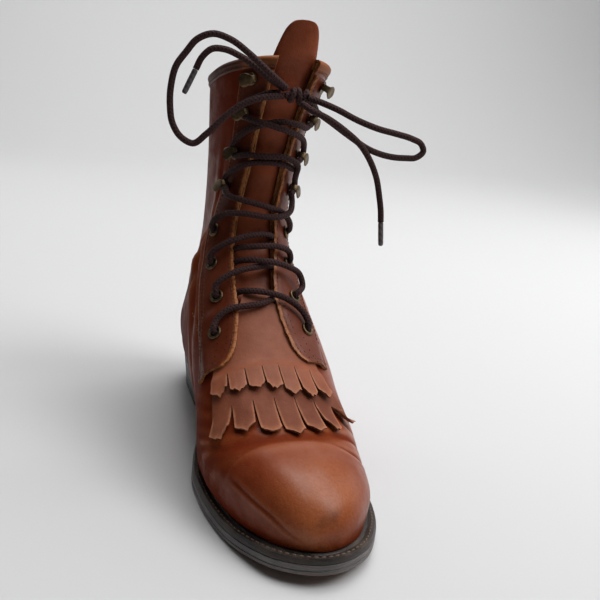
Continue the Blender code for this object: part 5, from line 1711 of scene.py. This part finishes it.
# Studio: a seamless pale sweep with its own wash of light, a broad soft box overhead, a key and a low fill
# on the outer side, and a small light behind on the inner side.
# The camera stands where the photograph was taken, turned to frame the one boot.
BACKDROP_SIDES = (-0.42, 3.0)
BACKDROP_NEAR = -2.0
BACKDROP_TURN = 1.3
BACKDROP_RADIUS = 0.8
BACKDROP_TOP = 3.0
backdrop_line = [(BACKDROP_NEAR, 0.0), (BACKDROP_TURN, 0.0)]
for t in np.linspace(0, math.pi / 2, 16)[1:]:
    backdrop_line.append((BACKDROP_TURN + BACKDROP_RADIUS * math.sin(t), BACKDROP_RADIUS * (1 - math.cos(t))))
backdrop_line.append((BACKDROP_TURN + BACKDROP_RADIUS, BACKDROP_TOP))
backdrop_mesh = bpy.data.meshes.new("studio_sweep")
backdrop_points = [(x, y, z) for y, z in backdrop_line for x in BACKDROP_SIDES]
backdrop_faces = [(2 * k, 2 * k + 1, 2 * k + 3, 2 * k + 2) for k in range(len(backdrop_line) - 1)]
backdrop_mesh.from_pydata(backdrop_points, [], backdrop_faces)
backdrop_mesh.shade_smooth()
PAPER = two_tone(
    "studio_paper", (1.6, 2.0), (0.62, 0.62, 0.624), (0.6, 0.6, 0.604),
    Roughness=0.85, Specular_IOR_Level=0.15,
)
backdrop_mesh.materials.append(PAPER)
backdrop = shown("studio_sweep", backdrop_mesh)

LAMPS = table(
    "name energy size at aim",
    ("overhead_softbox", 13.5, 1.0, (0.25, 0.0, 1.8), (0.0, 0.0, 0.1)),
    ("outer_key", 12.8, 0.8, (0.9, -0.5, 1.3), (0.0, 0.0, 0.1)),
    ("outer_fill", 2.9, 0.9, (1.1, 0.2, 0.5), (0.0, 0.0, 0.1)),
    ("rear_inner", 1.0, 0.3, (-0.7, 1.1, 0.6), (0.0, 0.0, 0.16)),
    ("sweep_wash", 40.0, 2.0, (0.6, 1.0, 2.2), (0.6, 2.0, 0.7)),
)
for row in LAMPS:
    lamp_data = bpy.data.lights.new(row.name, "AREA")
    lamp_data.energy = row.energy
    lamp_data.size = row.size
    lamp = shown(row.name, lamp_data)
    lamp.location = row.at
    lamp.rotation_euler = (Vector(row.aim) - Vector(row.at)).to_track_quat("-Z", "Y").to_euler()
world = bpy.data.worlds.new("studio_air")
world.use_nodes = True
air = world.node_tree.nodes["Background"].inputs
air["Color"].default_value = (0.95, 0.97, 1.0, 1.0)
air["Strength"].default_value = 0.06
bpy.context.scene.world = world
bpy.context.scene.view_settings.view_transform = "Standard"

PHOTO_EYE = np.array([-142.8, -298.4, 242.3])
PHOTO_AXES = np.array([[0.9843, -0.1661, 0.0594], [-0.0012, 0.3303, 0.9439], [-0.1764, -0.9291, 0.3249]])
PHOTO_WIDTH = 600.0
PHOTO_FOCAL = 887.0
VIEW_FOCAL = 800.0
FRAME_CENTRE = (448.0, 280.0)
SENSOR = 36.0
across = (FRAME_CENTRE[0] - PHOTO_WIDTH / 2) / PHOTO_FOCAL
over = (PHOTO_WIDTH / 2 - FRAME_CENTRE[1]) / PHOTO_FOCAL
ray = PHOTO_AXES[0] * across + PHOTO_AXES[1] * over - PHOTO_AXES[2]
back = -ray / np.linalg.norm(ray)
right = PHOTO_AXES[0] - back * np.dot(back, PHOTO_AXES[0])
right /= np.linalg.norm(right)
camera_data = bpy.data.cameras.new("photo_camera")
camera_data.sensor_width = SENSOR
camera_data.sensor_fit = "HORIZONTAL"
camera_data.lens = VIEW_FOCAL / PHOTO_WIDTH * SENSOR
camera_data.clip_start = 0.01
camera = shown("photo_camera", camera_data)
pose = np.eye(4)
pose[:3, 0] = right
pose[:3, 1] = np.cross(back, right)
pose[:3, 2] = back
pose[:3, 3] = (PHOTO_EYE - np.array([MID_X, MID_S, 0.0])) * MM
camera.matrix_world = Matrix(pose.tolist())
bpy.context.scene.camera = camera

bpy.context.view_layer.update()
